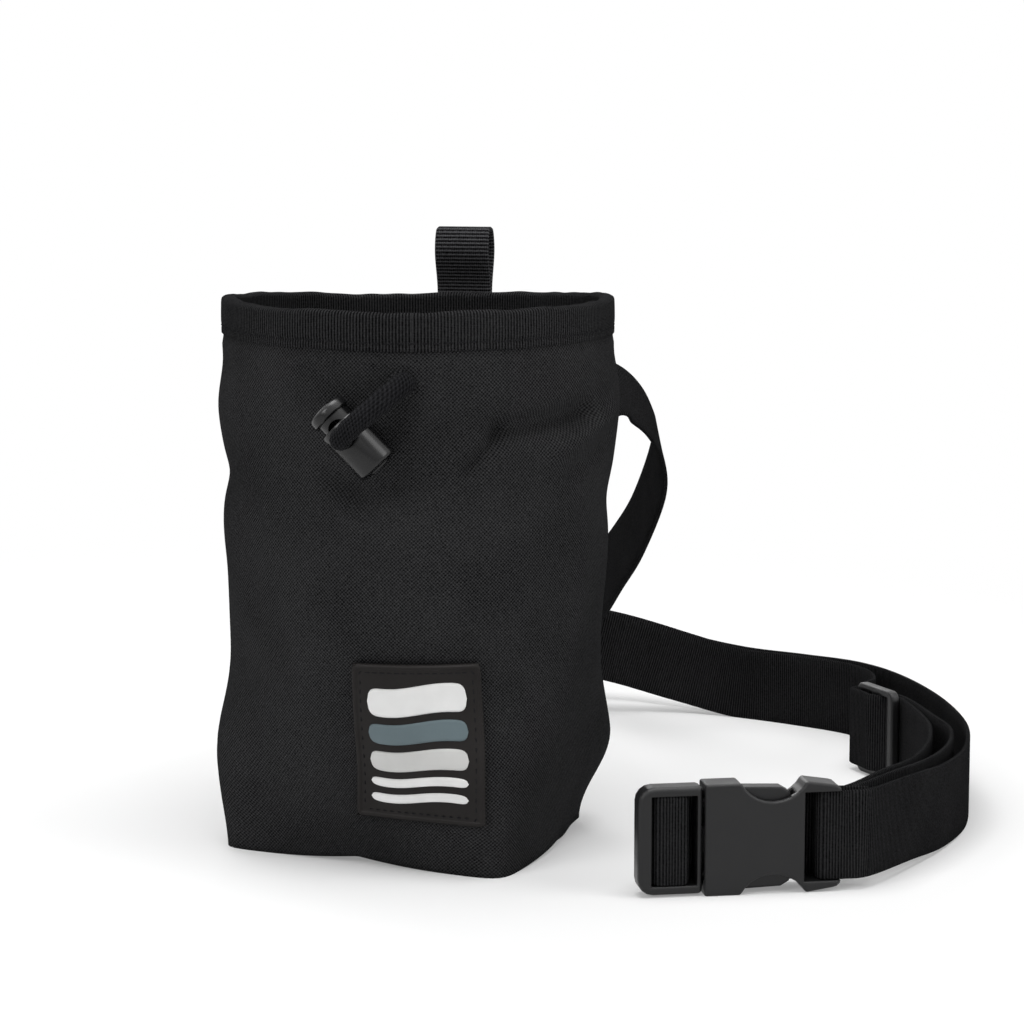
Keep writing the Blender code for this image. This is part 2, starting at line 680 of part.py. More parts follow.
SLIDER_POSE = Matrix.Translation(SLIDER_PLACE + UP * SLIDER_HEIGHT / 2) @ Matrix.Rotation(SLIDER_TURN, 4, "Z")
SLIDER_HALF_LENGTH = 1.5 * SLIDER_BAR + SLIDER_SLOT


def make_slider():
    half = SLIDER_HEIGHT / 2
    thick = SLIDER_THICKNESS / 2
    outline = rounded_box_outline(-SLIDER_HALF_LENGTH, -half, SLIDER_HALF_LENGTH, half, 0.003)
    slider = add_object("belt_slider", prism(outline, -thick, thick), "acetal", matrix=SLIDER_POSE)
    bevel(slider, 0.0006)
    for name, side in (("slider_slot_near", 1), ("slider_slot_far", -1)):
        x0, x1 = sorted((side * SLIDER_BAR / 2, side * (SLIDER_BAR / 2 + SLIDER_SLOT)))
        slot = box((x0, -2 * thick, -WEB_SLOT), (x1, 2 * thick, WEB_SLOT))
        boolean(slider, add_object(name, slot, matrix=SLIDER_POSE), "DIFFERENCE")


# The belt: it stands on edge on the floor; each station is a place and the direction of its width

DOWN = -UP
LAYER = WEBBING_THICKNESS + 2 * GAP
FLOOR_RUN = WEBBING_WIDTH / 2


def through_tunnel(turns):
    """Stations on the back of the bag, where the webbing leans with the wall."""
    seat = BELT_SEAT + WEBBING_THICKNESS / 2
    reach = WEBBING_WIDTH / 2
    stations = []
    for turn in (BACK + math.radians(t) for t in turns):
        upper = wall_point(turn, BELT_HEIGHT + reach, seat)
        lower = wall_point(turn, BELT_HEIGHT - reach, seat)
        stations.append(((upper + lower) / 2, (upper - lower).normalized()))
    return stations


def at(x, y, z=None, across=UP):
    """A station given in millimetres; without a height it stands on the floor."""
    height = FLOOR_RUN if z is None else z * 0.001
    return Vector((x * 0.001, y * 0.001, height)), Vector(across)


def on(pose, x, y, across=UP):
    return pose @ Vector((x, y, 0)), Vector(across)


def make_buckle_side():
    """From the tunnel round behind the bag, along the back of the loop, and to the bar of the socket."""
    bar = SOCKET_BAR_PLACE
    fold = BAR_DIAMETER / 2 + 2 * GAP + WEBBING_THICKNESS / 2
    stations = through_tunnel((0.2, 6, 12, 18, 24))
    stations += [at(-26, 59, 130.5), at(-38, 70, 124), at(-43, 88, 107), at(-38, 114, 80), at(-27, 142, 53),
                 at(-10, 172, 35), at(14, 196, 28), at(42, 206, 25), at(68, 204, 20), at(92, 192, 15),
                 at(113.5, 177), at(133.5, 162.5), at(151.5, 147.8), at(163.5, 124), at(172, 86),
                 at(174.5, 45),
                 at(169.5, 9), at(159, -19, 13.4), at(146, -42, 15.2)]
    stations += [on(BUCKLE_POSE, bar + 0.012, -0.0011), on(BUCKLE_POSE, bar + 0.004, -fold),
                 on(BUCKLE_POSE, bar - 0.4 * fold, -fold), on(BUCKLE_POSE, bar - 0.95 * fold, -0.78 * fold),
                 on(BUCKLE_POSE, bar - 1.17 * fold, 0), on(BUCKLE_POSE, bar - 0.95 * fold, 0.78 * fold),
                 on(BUCKLE_POSE, bar - 0.4 * fold, fold), on(BUCKLE_POSE, bar + 0.004, fold),
                 on(BUCKLE_POSE, bar + 0.012, 0.0014)]
    ribbon("belt_buckle_side", stations, WEBBING_WIDTH)


def make_adjuster_side():
    """From the tunnel with a half twist, along the back of the loop, past the slider and round the plug."""
    stations = [(centre, -across) for centre, across in through_tunnel((-0.2, -6, -12, -18, -24))]
    stations += [at(46, 40, 132, (0.3, -0.34, -0.9)), at(56.5, 45.2, 133.8, (0.47, -0.64, -0.61)),
                 at(63, 52, 131.8, (0.28, -0.66, -0.7)), at(69.8, 60, 126.2, (0.2, -0.7, -0.69)),
                 at(75.2, 70, 116.8, (0.17, -0.69, -0.71)), at(77.2, 86, 103.4, (0.1, -0.6, -0.79)),
                 at(72, 118, 80, (0.05, -0.56, -0.83)), at(66, 142, 64.5, (0.04, -0.52, -0.85)),
                 at(59.5, 165, 50.5, (0.12, -0.46, -0.88)), at(51.8, 183, 40, (0.15, -0.3, -0.94)),
                 at(43, 192.5, 34.5, (0.1, -0.12, -0.99)), at(36.5, 192, 31.5, DOWN),
                 at(38, 184.5, 30, DOWN), at(51, 181, 28, DOWN), at(70, 182, 23.5, DOWN),
                 at(92, 181, 17, DOWN), at(112, 173, None, DOWN),
                 at(132, 159, None, DOWN), at(148, 144.5, None, DOWN), at(154, 130, None, DOWN),
                 at(153, 112, 13.6, DOWN)]
    side = SLIDER_THICKNESS / 2 + 2 * GAP + WEBBING_THICKNESS / 2
    end = SLIDER_HALF_LENGTH
    over = side + LAYER
    stations += [on(SLIDER_POSE, -end - 0.006, over + 0.0006, DOWN), on(SLIDER_POSE, 0, over, DOWN),
                 on(SLIDER_POSE, end, over, DOWN)]
    stations += [at(164.5, 48, 14.5, DOWN), at(167.5, 29, 14.2, DOWN), at(163.5, 5, 14.4, DOWN),
                 at(154, -19, 15, DOWN), at(140.5, -41, 16, DOWN)]
    back = HALF_THICK + 2 * GAP + WEBBING_THICKNESS / 2
    bar = PLUG_BAR_PLACE
    half = PLUG_BAR / 2
    front = -(BAR_DIAMETER / 2 + 2 * GAP + WEBBING_THICKNESS / 2)
    stations += [on(BUCKLE_POSE, 0.042, back, DOWN), on(BUCKLE_POSE, 0.024, back, DOWN),
                 on(BUCKLE_POSE, 0.004, back, DOWN),
                 on(BUCKLE_POSE, bar + half + 0.0032, back - 0.0012, DOWN),
                 on(BUCKLE_POSE, bar + half + 0.0018, 0.0006, DOWN),
                 on(BUCKLE_POSE, bar + half + 0.0007, front + 0.0004, DOWN),
                 on(BUCKLE_POSE, bar, front, DOWN),
                 on(BUCKLE_POSE, bar - half - 0.0007, front + 0.0004, DOWN),
                 on(BUCKLE_POSE, bar - half - 0.0018, 0.0006, DOWN),
                 on(BUCKLE_POSE, bar - half - 0.0010, back - 0.0004, DOWN),
                 on(BUCKLE_POSE, bar + 0.0005, back + LAYER, DOWN),
                 on(BUCKLE_POSE, 0.004, back + LAYER, DOWN),
                 on(BUCKLE_POSE, 0.024, back + LAYER, DOWN), on(BUCKLE_POSE, 0.042, back + LAYER, DOWN)]
    stations += [at(138, -38.5, 16, DOWN), at(149, -19, 15, DOWN), at(157, 5, 14.6, DOWN),
                 at(161, 28, 14.8, DOWN),
                 at(160.5, 46, 15.2, DOWN)]
    slot = (SLIDER_BAR + SLIDER_SLOT) / 2
    stations += [on(SLIDER_POSE, end + 0.0005, side, DOWN), on(SLIDER_POSE, 1.95 * slot, side + GAP, DOWN),
                 on(SLIDER_POSE, slot, 0, DOWN), on(SLIDER_POSE, 0.05 * slot, -side - GAP, DOWN),
                 on(SLIDER_POSE, -slot, -side, DOWN), on(SLIDER_POSE, -end + 0.0006, -side, DOWN),
                 on(SLIDER_POSE, -end - 0.6 * side, -0.8 * side, DOWN),
                 on(SLIDER_POSE, -end - 0.9 * side, 0, DOWN),
                 on(SLIDER_POSE, -end - 0.6 * side, 0.8 * side, DOWN),
                 on(SLIDER_POSE, -end + 0.0006, side, DOWN), on(SLIDER_POSE, -slot, side, DOWN)]
    ribbon("belt_adjuster_side", stations, WEBBING_WIDTH)


clear_scene()
make_shell()
make_lining()
make_rim()
make_label()
make_tunnel()
make_hang_loop()
make_eyelet()
make_drawcord()
make_cord_lock()
make_socket()
make_plug()
make_prong("prong_upper", 1)
make_prong("prong_lower", -1)
make_slider()
make_buckle_side()
make_adjuster_side()
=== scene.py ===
# %% [markdown]
# A climbing chalk bag on a webbing belt.
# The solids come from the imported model, in metres, and this lesson dresses them: soft fabric, ribbed tape,
# webbing, a braided cord and satin plastic. Everything soft is rebuilt here where its solid stands.

# %% Load the frame
import math

import bmesh
import bpy
from mathutils import Matrix, Vector, noise


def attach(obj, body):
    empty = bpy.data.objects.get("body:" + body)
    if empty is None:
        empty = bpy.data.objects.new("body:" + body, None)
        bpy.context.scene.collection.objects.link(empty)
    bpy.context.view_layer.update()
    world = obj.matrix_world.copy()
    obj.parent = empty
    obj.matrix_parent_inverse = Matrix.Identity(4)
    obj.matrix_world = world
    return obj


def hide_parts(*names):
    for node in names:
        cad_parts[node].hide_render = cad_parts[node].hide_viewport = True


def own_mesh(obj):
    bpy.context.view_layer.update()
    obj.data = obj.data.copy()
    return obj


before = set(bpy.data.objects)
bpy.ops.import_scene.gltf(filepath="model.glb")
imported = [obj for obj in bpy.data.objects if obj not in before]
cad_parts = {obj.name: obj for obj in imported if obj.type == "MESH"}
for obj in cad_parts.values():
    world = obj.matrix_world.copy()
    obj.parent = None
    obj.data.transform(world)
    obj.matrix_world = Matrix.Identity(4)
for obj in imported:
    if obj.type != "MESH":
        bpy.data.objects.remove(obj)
scene = bpy.context.scene
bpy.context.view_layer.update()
UP = Vector((0, 0, 1))
MM = 0.001

# %% [markdown]
# Colours are written as sRGB hex values, the way a colour picker shows them. Blender's shaders work on linear
# light, so one function converts them.

# %% Colour and node helpers


def colour(hex_value):
    channels = [int(hex_value[k:k + 2], 16) / 255 for k in (1, 3, 5)]
    linear = [c / 12.92 if c <= 0.04045 else ((c + 0.055) / 1.055) ** 2.4 for c in channels]
    return (*linear, 1.0)


def fill(tree, node, **links):
    """Give a node's inputs values or sockets; i0 is its first input, and _ stands for a space in a name."""
    for name, value in links.items():
        key = int(name[1:]) if name[0] == "i" and name[1:].isdigit() else name.replace("_", " ")
        if isinstance(value, bpy.types.NodeSocket):
            tree.links.new(value, node.inputs[key])
        else:
            node.inputs[key].default_value = value


def add(tree, kind, settings=None, **links):
    """Add one node: settings are its properties, links are values or sockets for its inputs."""
    node = tree.nodes.new(kind)
    for name, value in (settings or {}).items():
        setattr(node, name, value)
    fill(tree, node, **links)
    return node


def new_material(name):
    material = bpy.data.materials.new(name)
    material.use_nodes = True
    tree = material.node_tree
    return material, tree, tree.nodes["Principled BSDF"]


def maths(tree, operation, *values, clamp=False):
    """Add a maths node: values or sockets go to its inputs in order; gives its result."""
    inputs = {f"i{k}": value for k, value in enumerate(values)}
    return add(tree, "ShaderNodeMath", {"operation": operation, "use_clamp": clamp}, **inputs).outputs[0]


# %% [markdown]
# A weave is drawn from the piece's own UV map, which holds metres along and across the cloth. Two sine waves
# that are multiplied give dots that sit staggered like the threads of a plain weave, and one sine wave alone
# gives ribs. The height drives a bump, and a little of it the colour, because thread tops catch more light.
# Noise adds patches of wear and specks of lint. Black cloth hardly mirrors, so its specular level is zero.

# %% Cloth finishes
THREAD_SHARE = 0.8
PATCH_SHARE = 0.35
LINT_SHARE = 0.9
LINT_MM = 0.55
DARK_SHARE = 0.55


def wave(tree, axis, pitch_mm):
    return maths(tree, "SINE", maths(tree, "MULTIPLY", axis, 2 * math.pi / (pitch_mm * MM)))


def cloth(name, dark, light, weave, depth_mm, roughness, sheen=0.0, strength=0.6, variation_mm=25.0):
    """Woven cloth; weave is a function of the tree and the two UV axes that returns a height."""
    material, tree, shader = new_material(name)
    uv = add(tree, "ShaderNodeUVMap")
    axes = add(tree, "ShaderNodeSeparateXYZ", Vector=uv.outputs[0])
    height = weave(tree, axes.outputs[0], axes.outputs[1])
    place = add(tree, "ShaderNodeTexCoord").outputs["Object"]
    patches = add(tree, "ShaderNodeTexNoise", Vector=place, Scale=1 / (variation_mm * MM), Detail=3.0)
    lint = add(tree, "ShaderNodeTexNoise", Vector=place, Scale=1 / (LINT_MM * MM), Detail=2.0)
    share = add(tree, "ShaderNodeMapRange", Value=height, i1=-1.0, i2=1.0, i3=0.0, i4=THREAD_SHARE)
    mixed = maths(tree, "MULTIPLY_ADD", patches.outputs["Fac"], PATCH_SHARE, share.outputs[0])
    lightness = maths(tree, "MULTIPLY_ADD", lint.outputs["Fac"], LINT_SHARE,
                      maths(tree, "SUBTRACT", mixed, DARK_SHARE), clamp=True)
    tint = add(tree, "ShaderNodeMix", {"data_type": "RGBA"}, i0=lightness, i6=colour(dark), i7=colour(light))
    bump = add(tree, "ShaderNodeBump", Height=height, Strength=strength, Distance=depth_mm * MM)
    fill(tree, shader, Base_Color=tint.outputs[2], Normal=bump.outputs[0], Roughness=roughness,
         Sheen_Weight=sheen, Sheen_Roughness=0.5, Specular_IOR_Level=0.0)
    return material


def plain_weave(pitch_mm):
    def build(tree, across, along):
        return maths(tree, "MULTIPLY", wave(tree, across, 2 * pitch_mm), wave(tree, along, 2 * pitch_mm))
    return build


def ribs(pitch_mm, fine_mm, along_first):
    """Ribs along one axis with a finer thread across them."""
    def build(tree, across, along):
        main, other = (along, across) if along_first else (across, along)
        return maths(tree, "MULTIPLY_ADD", wave(tree, other, fine_mm), 0.3, wave(tree, main, pitch_mm))
    return build


def plaited(pitch_mm, step_mm):
    """Columns along a cord, each with slanted floats."""
    def build(tree, across, along):
        floats = wave(tree, maths(tree, "MULTIPLY_ADD", across, 0.7, along), step_mm)
        columns = maths(tree, "MULTIPLY", wave(tree, across, pitch_mm), 0.45)
        return maths(tree, "MULTIPLY_ADD", floats, 0.55, columns)
    return build


nylon = cloth("black_nylon_plain_weave", "#09090a", "#414142", plain_weave(0.55), 0.22, 0.85)
fleece = cloth("black_pile_fleece", "#060606", "#1c1c1c", plain_weave(1.6), 0.8, 1.0, 0.02)
grosgrain = cloth("black_grosgrain_tape", "#050506", "#3c3c3d", ribs(0.95, 0.5, False), 0.35, 0.7)
webbing = cloth("black_nylon_webbing", "#060607", "#353536", ribs(0.85, 0.4, True), 0.32, 0.75)
loop_webbing = cloth("black_loop_webbing", "#080809", "#565658", ribs(1.15, 0.7, True), 0.35, 0.75)
braid = cloth("black_braided_cord", "#0a0a0b", "#2a2a2c", plaited(0.9, 1.1), 0.25, 0.95, 0.02, 0.7, 5.0)
thread = cloth("black_sewing_thread", "#151516", "#313133", ribs(0.3, 0.3, True), 0.05, 0.7)
print("cloth finishes made")

# %% [markdown]
# The buckle, slider and cord lock are moulded acetal. It is a satin black with a faint spark-eroded grain, so
# one noise moves its roughness and a finer one its surface. The label is moulded rubber, made the same way.

# %% Plastic, rubber and steel


def moulded(name, base, roughness, specular, grain_mm=0.35, depth_mm=0.012, edge_mm=0.0):
    """Moulded plastic or rubber; edge_mm rounds the look of its sharp edges."""
    material, tree, shader = new_material(name)
    place = add(tree, "ShaderNodeTexCoord").outputs["Object"]
    grain = add(tree, "ShaderNodeTexNoise", Vector=place, Scale=1 / (grain_mm * MM), Detail=2.0)
    smear = add(tree, "ShaderNodeTexNoise", Vector=place, Scale=1 / (9 * MM), Detail=3.0)
    rough = add(tree, "ShaderNodeMapRange", Value=smear.outputs["Fac"], i1=0.3, i2=0.7, i3=roughness - 0.06,
                i4=roughness + 0.08)
    full = colour(base)
    worn = (*(0.82 * channel for channel in full[:3]), 1.0)
    tint = add(tree, "ShaderNodeMix", {"data_type": "RGBA"}, i0=smear.outputs["Fac"], i6=full, i7=worn)
    bump = add(tree, "ShaderNodeBump", Height=grain.outputs["Fac"], Strength=0.35, Distance=depth_mm * MM)
    if edge_mm:
        fill(tree, bump, Normal=add(tree, "ShaderNodeBevel", {"samples": 6}, Radius=edge_mm * MM).outputs[0])
    fill(tree, shader, Base_Color=tint.outputs[2], Normal=bump.outputs[0], Roughness=rough.outputs[0],
         Specular_IOR_Level=specular)
    return material


acetal = moulded("satin_black_acetal", "#1a1a1b", 0.36, 0.32, edge_mm=1.3)
lock_plastic = moulded("satin_black_lock_acetal", "#101011", 0.25, 0.36, edge_mm=0.4)
rubber = moulded("dark_grey_moulded_rubber", "#191615", 0.55, 0.2, 0.5, 0.03)
rubber_light = moulded("light_grey_moulded_rubber", "#d6d6d4", 0.55, 0.3, 0.5, 0.02)
rubber_white = moulded("white_moulded_rubber", "#f4f4f3", 0.55, 0.3, 0.5, 0.02)
rubber_slate = moulded("slate_moulded_rubber", "#66757a", 0.55, 0.3, 0.5, 0.02)
steel, steel_tree, steel_shader = new_material("bright_spring_steel")
steel_grain = add(steel_tree, "ShaderNodeTexNoise", Scale=1 / (0.4 * MM),
                  Vector=add(steel_tree, "ShaderNodeTexCoord").outputs["Object"])
steel_rough = add(steel_tree, "ShaderNodeMapRange", Value=steel_grain.outputs["Fac"], i3=0.2, i4=0.4)
fill(steel_tree, steel_shader, Metallic=1.0, Base_Color=colour("#c8c8cc"), Roughness=steel_rough.outputs[0])
print("moulded finishes made")

# %% [markdown]
# The camera stands where the photographer stood: 0.91 m in front of the bag, a little above its rim, with a
# long lens.

# %% Camera
LENS_MM = 106.2
CAMERA_PLACE = (0.0283, -0.912, 0.2275)
CAMERA_DIP = 7.95
camera_data = bpy.data.cameras.new("camera")
camera_data.sensor_width = 36.0
camera_data.lens = LENS_MM
camera_data.clip_start = 0.01
camera = bpy.data.objects.new("camera", camera_data)
camera.location = CAMERA_PLACE
camera.rotation_euler = (math.radians(90 - CAMERA_DIP), 0, 0)
scene.collection.objects.link(camera)
scene.camera = camera
scene.view_settings.view_transform = "Standard"
print("camera set:", LENS_MM, "mm lens")

# %% [markdown]
# The floor is a wide white sheet. Near the bag it takes real shadows, and farther out it fades to plain white
# for rays that show the background, so no horizon is seen.

# %% Floor
FLOOR_REACH = 6.0
FLOOR_NEAR = 0.30
FLOOR_FAR = 0.62
FLOOR_GLOW = 0.25


def new_object(name, bm):
    """Turn a bmesh into an object in the scene."""
    mesh = bpy.data.meshes.new(name)
    bm.to_mesh(mesh)
    bm.free()
    made = bpy.data.objects.new(name, mesh)
    scene.collection.objects.link(made)
    return made


bm = bmesh.new()
bmesh.ops.create_grid(bm, x_segments=1, y_segments=1, size=FLOOR_REACH)
floor = new_object("floor", bm)


def background_rays(tree):
    """1 for rays that show the background: from the camera, or by way of a mirror or glass."""
    path = add(tree, "ShaderNodeLightPath")
    shiny = maths(tree, "MAXIMUM", path.outputs["Is Glossy Ray"], path.outputs["Is Transmission Ray"])
    return maths(tree, "MAXIMUM", path.outputs["Is Camera Ray"], shiny)


floor_material, floor_tree, floor_shader = new_material("white_sweep")
fill(floor_tree, floor_shader, Base_Color=(0.9, 0.9, 0.9, 1), Roughness=0.9, Specular_IOR_Level=0.0)
distance = add(floor_tree, "ShaderNodeVectorMath", {"operation": "LENGTH"},
               i0=add(floor_tree, "ShaderNodeTexCoord").outputs["Object"])
fade = add(floor_tree, "ShaderNodeMapRange", {"interpolation_type": "SMOOTHSTEP"},
           Value=distance.outputs["Value"], i1=FLOOR_NEAR, i2=FLOOR_FAR, i3=FLOOR_GLOW, i4=1.0)
glow = maths(floor_tree, "MULTIPLY", fade.outputs[0], background_rays(floor_tree))
white = add(floor_tree, "ShaderNodeEmission", Color=(1, 1, 1, 1), Strength=1.0)
sweep = add(floor_tree, "ShaderNodeMixShader", i0=glow, i1=floor_shader.outputs[0], i2=white.outputs[0])
fill(floor_tree, floor_tree.nodes["Material Output"], Surface=sweep.outputs[0])
floor.data.materials.append(floor_material)
print("floor made")

# %% [markdown]
# The world is white where the camera sees it, but gives the cloth only a little light. Glossy plastic mirrors
# a world that is darker low down and brighter high up, as a studio is. Soft area lights stand above, in front
# at the left, at the right and behind.

# %% World and lights
AMBIENT = 0.14
MIRRORED_LOW = 0.45
MIRRORED_HIGH = 1.6
world = bpy.data.worlds.new("studio")
scene.world = world
world.use_nodes = True
sky = world.node_tree
strength = maths(sky, "MULTIPLY_ADD", background_rays(sky), 1 - AMBIENT, AMBIENT)
direction = add(sky, "ShaderNodeSeparateXYZ", Vector=add(sky, "ShaderNodeTexCoord").outputs["Generated"])
mirrored = add(sky, "ShaderNodeMapRange", Value=direction.outputs["Z"], i1=-0.1, i2=0.8,
               i3=MIRRORED_LOW - 1, i4=MIRRORED_HIGH - 1)
glossy = add(sky, "ShaderNodeLightPath").outputs["Is Glossy Ray"]
shade = maths(sky, "MULTIPLY_ADD", mirrored.outputs[0], glossy, 1.0)
fill(sky, sky.nodes["Background"], Color=(1, 1, 1, 1), Strength=maths(sky, "MULTIPLY", strength, shade))


def area_light(name, place, target, size, power):
    data = bpy.data.lights.new(name, "AREA")
    data.shape = "RECTANGLE"
    data.size, data.size_y = size
    data.energy = power
    light = bpy.data.objects.new(name, data)
    light.location = place
    light.rotation_euler = (Vector(target) - Vector(place)).to_track_quat("-Z", "Y").to_euler()
    scene.collection.objects.link(light)


area_light("overhead", (0.0, -0.1, 1.5), (0.05, 0.0, 0.0), (1.1, 0.9), 18)
area_light("front_left", (-0.9, -1.1, 0.9), (0.02, 0.0, 0.08), (0.7, 0.7), 7.5)
area_light("right_side", (1.2, -0.5, 0.8), (0.05, 0.0, 0.08), (0.7, 0.9), 6)
area_light("behind", (-0.5, 1.3, 0.9), (0.03, 0.05, 0.08), (1.0, 0.8), 9)
print("lights set")

# %% [markdown]
# Small tools for soft pieces. A grid bent into place by a function makes every sheet of cloth here: the grid
# keeps its rows and columns, so its UV map can hold real metres and the weave comes out at one size all over.

# %% Bent grids


def add_piece(name, bm, material, body="bag", smooth=True):
    piece = new_object(name, bm)
    piece.data.materials.append(material)
    if smooth:
        piece.data.shade_smooth()
    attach(piece, body)
    return piece


def face_out(bm):
    bmesh.ops.recalc_face_normals(bm, faces=bm.faces)


def map_uv(bm, faces, measure):
    """Fill the UV map of the faces: measure turns the place of each corner into metres."""
    layer = bm.loops.layers.uv.verify()
    for face in faces:
        for loop in face.loops:
            loop[layer].uv = measure(loop.vert.co)


def bent_grid(columns, rows, place, size, closed=False):
    """A grid of points (s, t) from 0 to 1, put at place(s, t); size is its metres for UV, or gives them."""
    measure = size if callable(size) else lambda s, t: (s * size[0], t * size[1])
    bm = bmesh.new()
    bmesh.ops.create_grid(bm, x_segments=columns, y_segments=rows, size=0.5, calc_uvs=True)
    map_uv(bm, bm.faces, lambda spot: measure(spot.x + 0.5, spot.y + 0.5))
    for vert in bm.verts:
        vert.co = place(vert.co.x + 0.5, vert.co.y + 0.5)
    if closed:
        bmesh.ops.remove_doubles(bm, verts=bm.verts, dist=1e-6)
    face_out(bm)
    return bm


def close_holes(bm, edges):
    """Fill the holes that the edges go round, and turn all faces outwards."""
    bmesh.ops.holes_fill(bm, edges=edges, sides=0)
    face_out(bm)


def open_edges(bm):
    return [edge for edge in bm.edges if edge.is_boundary]


def modifier(piece, kind, **settings):
    made = piece.modifiers.new(kind.title(), kind)
    for name, value in settings.items():
        setattr(made, name, value)


def thicken(piece, thickness, offset=-1):
    modifier(piece, "SOLIDIFY", thickness=thickness, offset=offset)


def ease(t):
    t = min(max(t, 0.0), 1.0)
    return t * t * (3 - 2 * t)


# %% [markdown]
# The bag is a tube of nylon sewn to a boxed base, so its section changes from a rectangle with sharp corners
# at the floor to a circle at the rim. The base stands turned from the label. A superellipse does this: its
# power falls from the box to the circle on the way up.

# %% The wall of the bag
BAG_HEIGHT = 0.165
RIM_RADIUS = 0.0592
SHELL_RADIUS = RIM_RADIUS - 1.1 * MM
BINDING_INNER = RIM_RADIUS - 4.6 * MM
BINDING_HEIGHT = 0.0110
TAPE_EDGE = BAG_HEIGHT - BINDING_HEIGHT
CROWN = 0.28 * (RIM_RADIUS - BINDING_INNER)
SHELL_TOP = BAG_HEIGHT - 2.15 * MM
BASE_WIDTH = 0.095
BASE_DEPTH = 0.083
BASE_TURN = math.radians(-25)
BASE_SQUARENESS = 14.0
WALL_FULL = 0.50
CORD_HEIGHT = BAG_HEIGHT - 20.4 * MM


def polar(turn, radius, height):
    """A point round the bag; the turn is 0 at the front."""
    return Vector((radius * math.sin(turn), -radius * math.cos(turn), height))


def facing(turn):
    """The direction straight out of the bag."""
    return polar(turn, 1, 0)


def wall_radius(turn, height):
    share = ease(height / SHELL_TOP / WALL_FULL) ** 0.8
    half_width = BASE_WIDTH / 2 + (SHELL_RADIUS - BASE_WIDTH / 2) * share
    half_depth = BASE_DEPTH / 2 + (SHELL_RADIUS - BASE_DEPTH / 2) * share
    power = 2 + (BASE_SQUARENESS - 2) * (1 - share) ** 3
    x = abs(math.sin(turn - BASE_TURN)) / half_width
    y = abs(math.cos(turn - BASE_TURN)) / half_depth
    return (x**power + y**power) ** (-1 / power)


def wall_point(turn, height, outset=0.0):
    return polar(turn, wall_radius(turn, height) + outset, height)


print("wall:", round(wall_radius(0.0, BAG_HEIGHT / 2), 4), "m out at half height")

# %% [markdown]
# Cloth that stands by itself sags and folds. Each hump is a soft bell on the wall, and each fold a soft ridge
# or valley along a line. They have names, and each starts with the millimetres that it stands out. Noise adds
# the small unevenness. All of it fades out at the rim, at the floor, at the cord's opening and at the tunnel.

# %% Humps and folds


def hump(turn, height, at_turn, at_height, wide, tall):
    """A soft hump on the wall, 1 at its middle; the turns are in degrees and the heights in millimetres."""
    away = (math.degrees(turn) - at_turn + 180) % 360 - 180
    return math.exp(-(away / wide) ** 2 - ((height / MM - at_height) / tall) ** 2)


def crease(turn, height, start, end, wide):
    """A soft fold from start to end, 1 along its middle; each end is a turn in degrees and a height in mm."""
    arc = RIM_RADIUS / MM
    away = (math.degrees(turn) - start[0] + 180) % 360 - 180
    place = Vector((arc * math.radians(away), height / MM - start[1]))
    line = Vector((arc * math.radians(end[0] - start[0]), end[1] - start[1]))
    run = place.dot(line) / line.length
    aside = place.cross(line) / line.length
    return math.exp(-(aside / wide) ** 2) * ease((run + 4) / 8) * ease((line.length + 4 - run) / 8)


HUMPS = {
    "left_shoulder": (1.7, -84, 133, 40, 10),
    "left_pinch": (-1.5, -84, 113, 24, 6),
    "left_waist": (1.2, -84, 97, 40, 11),
    "left_foot": (2.4, -82, 40, 34, 22),
    "right_shoulder": (1.9, 82, 135, 34, 13),
    "right_pinch": (-1.3, 84, 106, 26, 8),
    "right_waist": (-1.2, 84, 72, 24, 22),
    "under_lock": (-3.6, -18, 115, 12, 5),
    "belly": (0.7, 10, 92, 35, 20),
}
FOLDS = {
    "short_valley": (-3.2, (15, 119), (27, 131), 2.4),
    "long_valley": (-4.8, (24, 131), (60, 134), 3.6),
    "valley_to_cord": (-2.6, (4, 131), (26, 133), 4.5),
    "right_ridge": (2.2, (74, 134), (42, 122), 3.2),
    "right_valley": (-1.5, (72, 125), (50, 116), 3.0),
    "left_ridge": (2.3, (-32, 118), (-14, 105), 3.0),
}


def sag(turn, height):
    """How far the cloth stands out from the plain wall, in metres; the humps and folds are in mm."""
    spot = Vector((math.sin(turn) * 2.2, math.cos(turn) * 2.2, height / 0.045))
    free = ease((SHELL_TOP - BINDING_HEIGHT - height) / 0.009) * ease((height + 0.004) / 0.02)
    held = max(hump(turn, height, -3, 144, 16, 11), hump(turn, height, 168, 132, 26, 26))
    folds = 0.8 * noise.noise(spot) + 0.35 * noise.noise(spot * 2.3)
    dents = sum(out * hump(turn, height, *spread) for out, *spread in HUMPS.values())
    dents += sum(out * crease(turn, height, *line) for out, *line in FOLDS.values())
    filled = (0.5 + 0.5 * ease((TAPE_EDGE - height) / 0.003)) * ease((height - 0.10) / 0.035)
    return ((folds + dents) * free * (1 - held) + filled) * MM


print("folds:", len(HUMPS), "humps and", len(FOLDS), "folds")

# %% [markdown]
# The outer shell is one grid, wrapped round the wall. Its lower edge lifts a little between the corners of
# the base. The base is drawn in from that edge, ring by ring, and the last small hole is filled.

# %% Outer shell


def lower_edge(turn):
    """The lower edge lifts off the floor between the corners of the base, and most at one slack corner."""
    corner = abs(math.sin(2 * (turn - BASE_TURN)))
    slack = hump(turn, 0.0, 104, 0, 26, 1)
    return 2.2 * MM * (1 - corner) ** 1.2 + 2.0 * MM * slack


def rim_lift(turn):
    """The soft rim is a saddle: its sides stand higher than its front, and the back sinks."""
    side = math.sin(turn) ** 2
    front = max(math.cos(turn), 0) ** 2
    back = max(-math.cos(turn), 0) ** 2
    return (1.3 * side + 0.1 * front - 2.2 * back) * MM


def upper_part(height):
    return ease((height - 0.10) / 0.055)


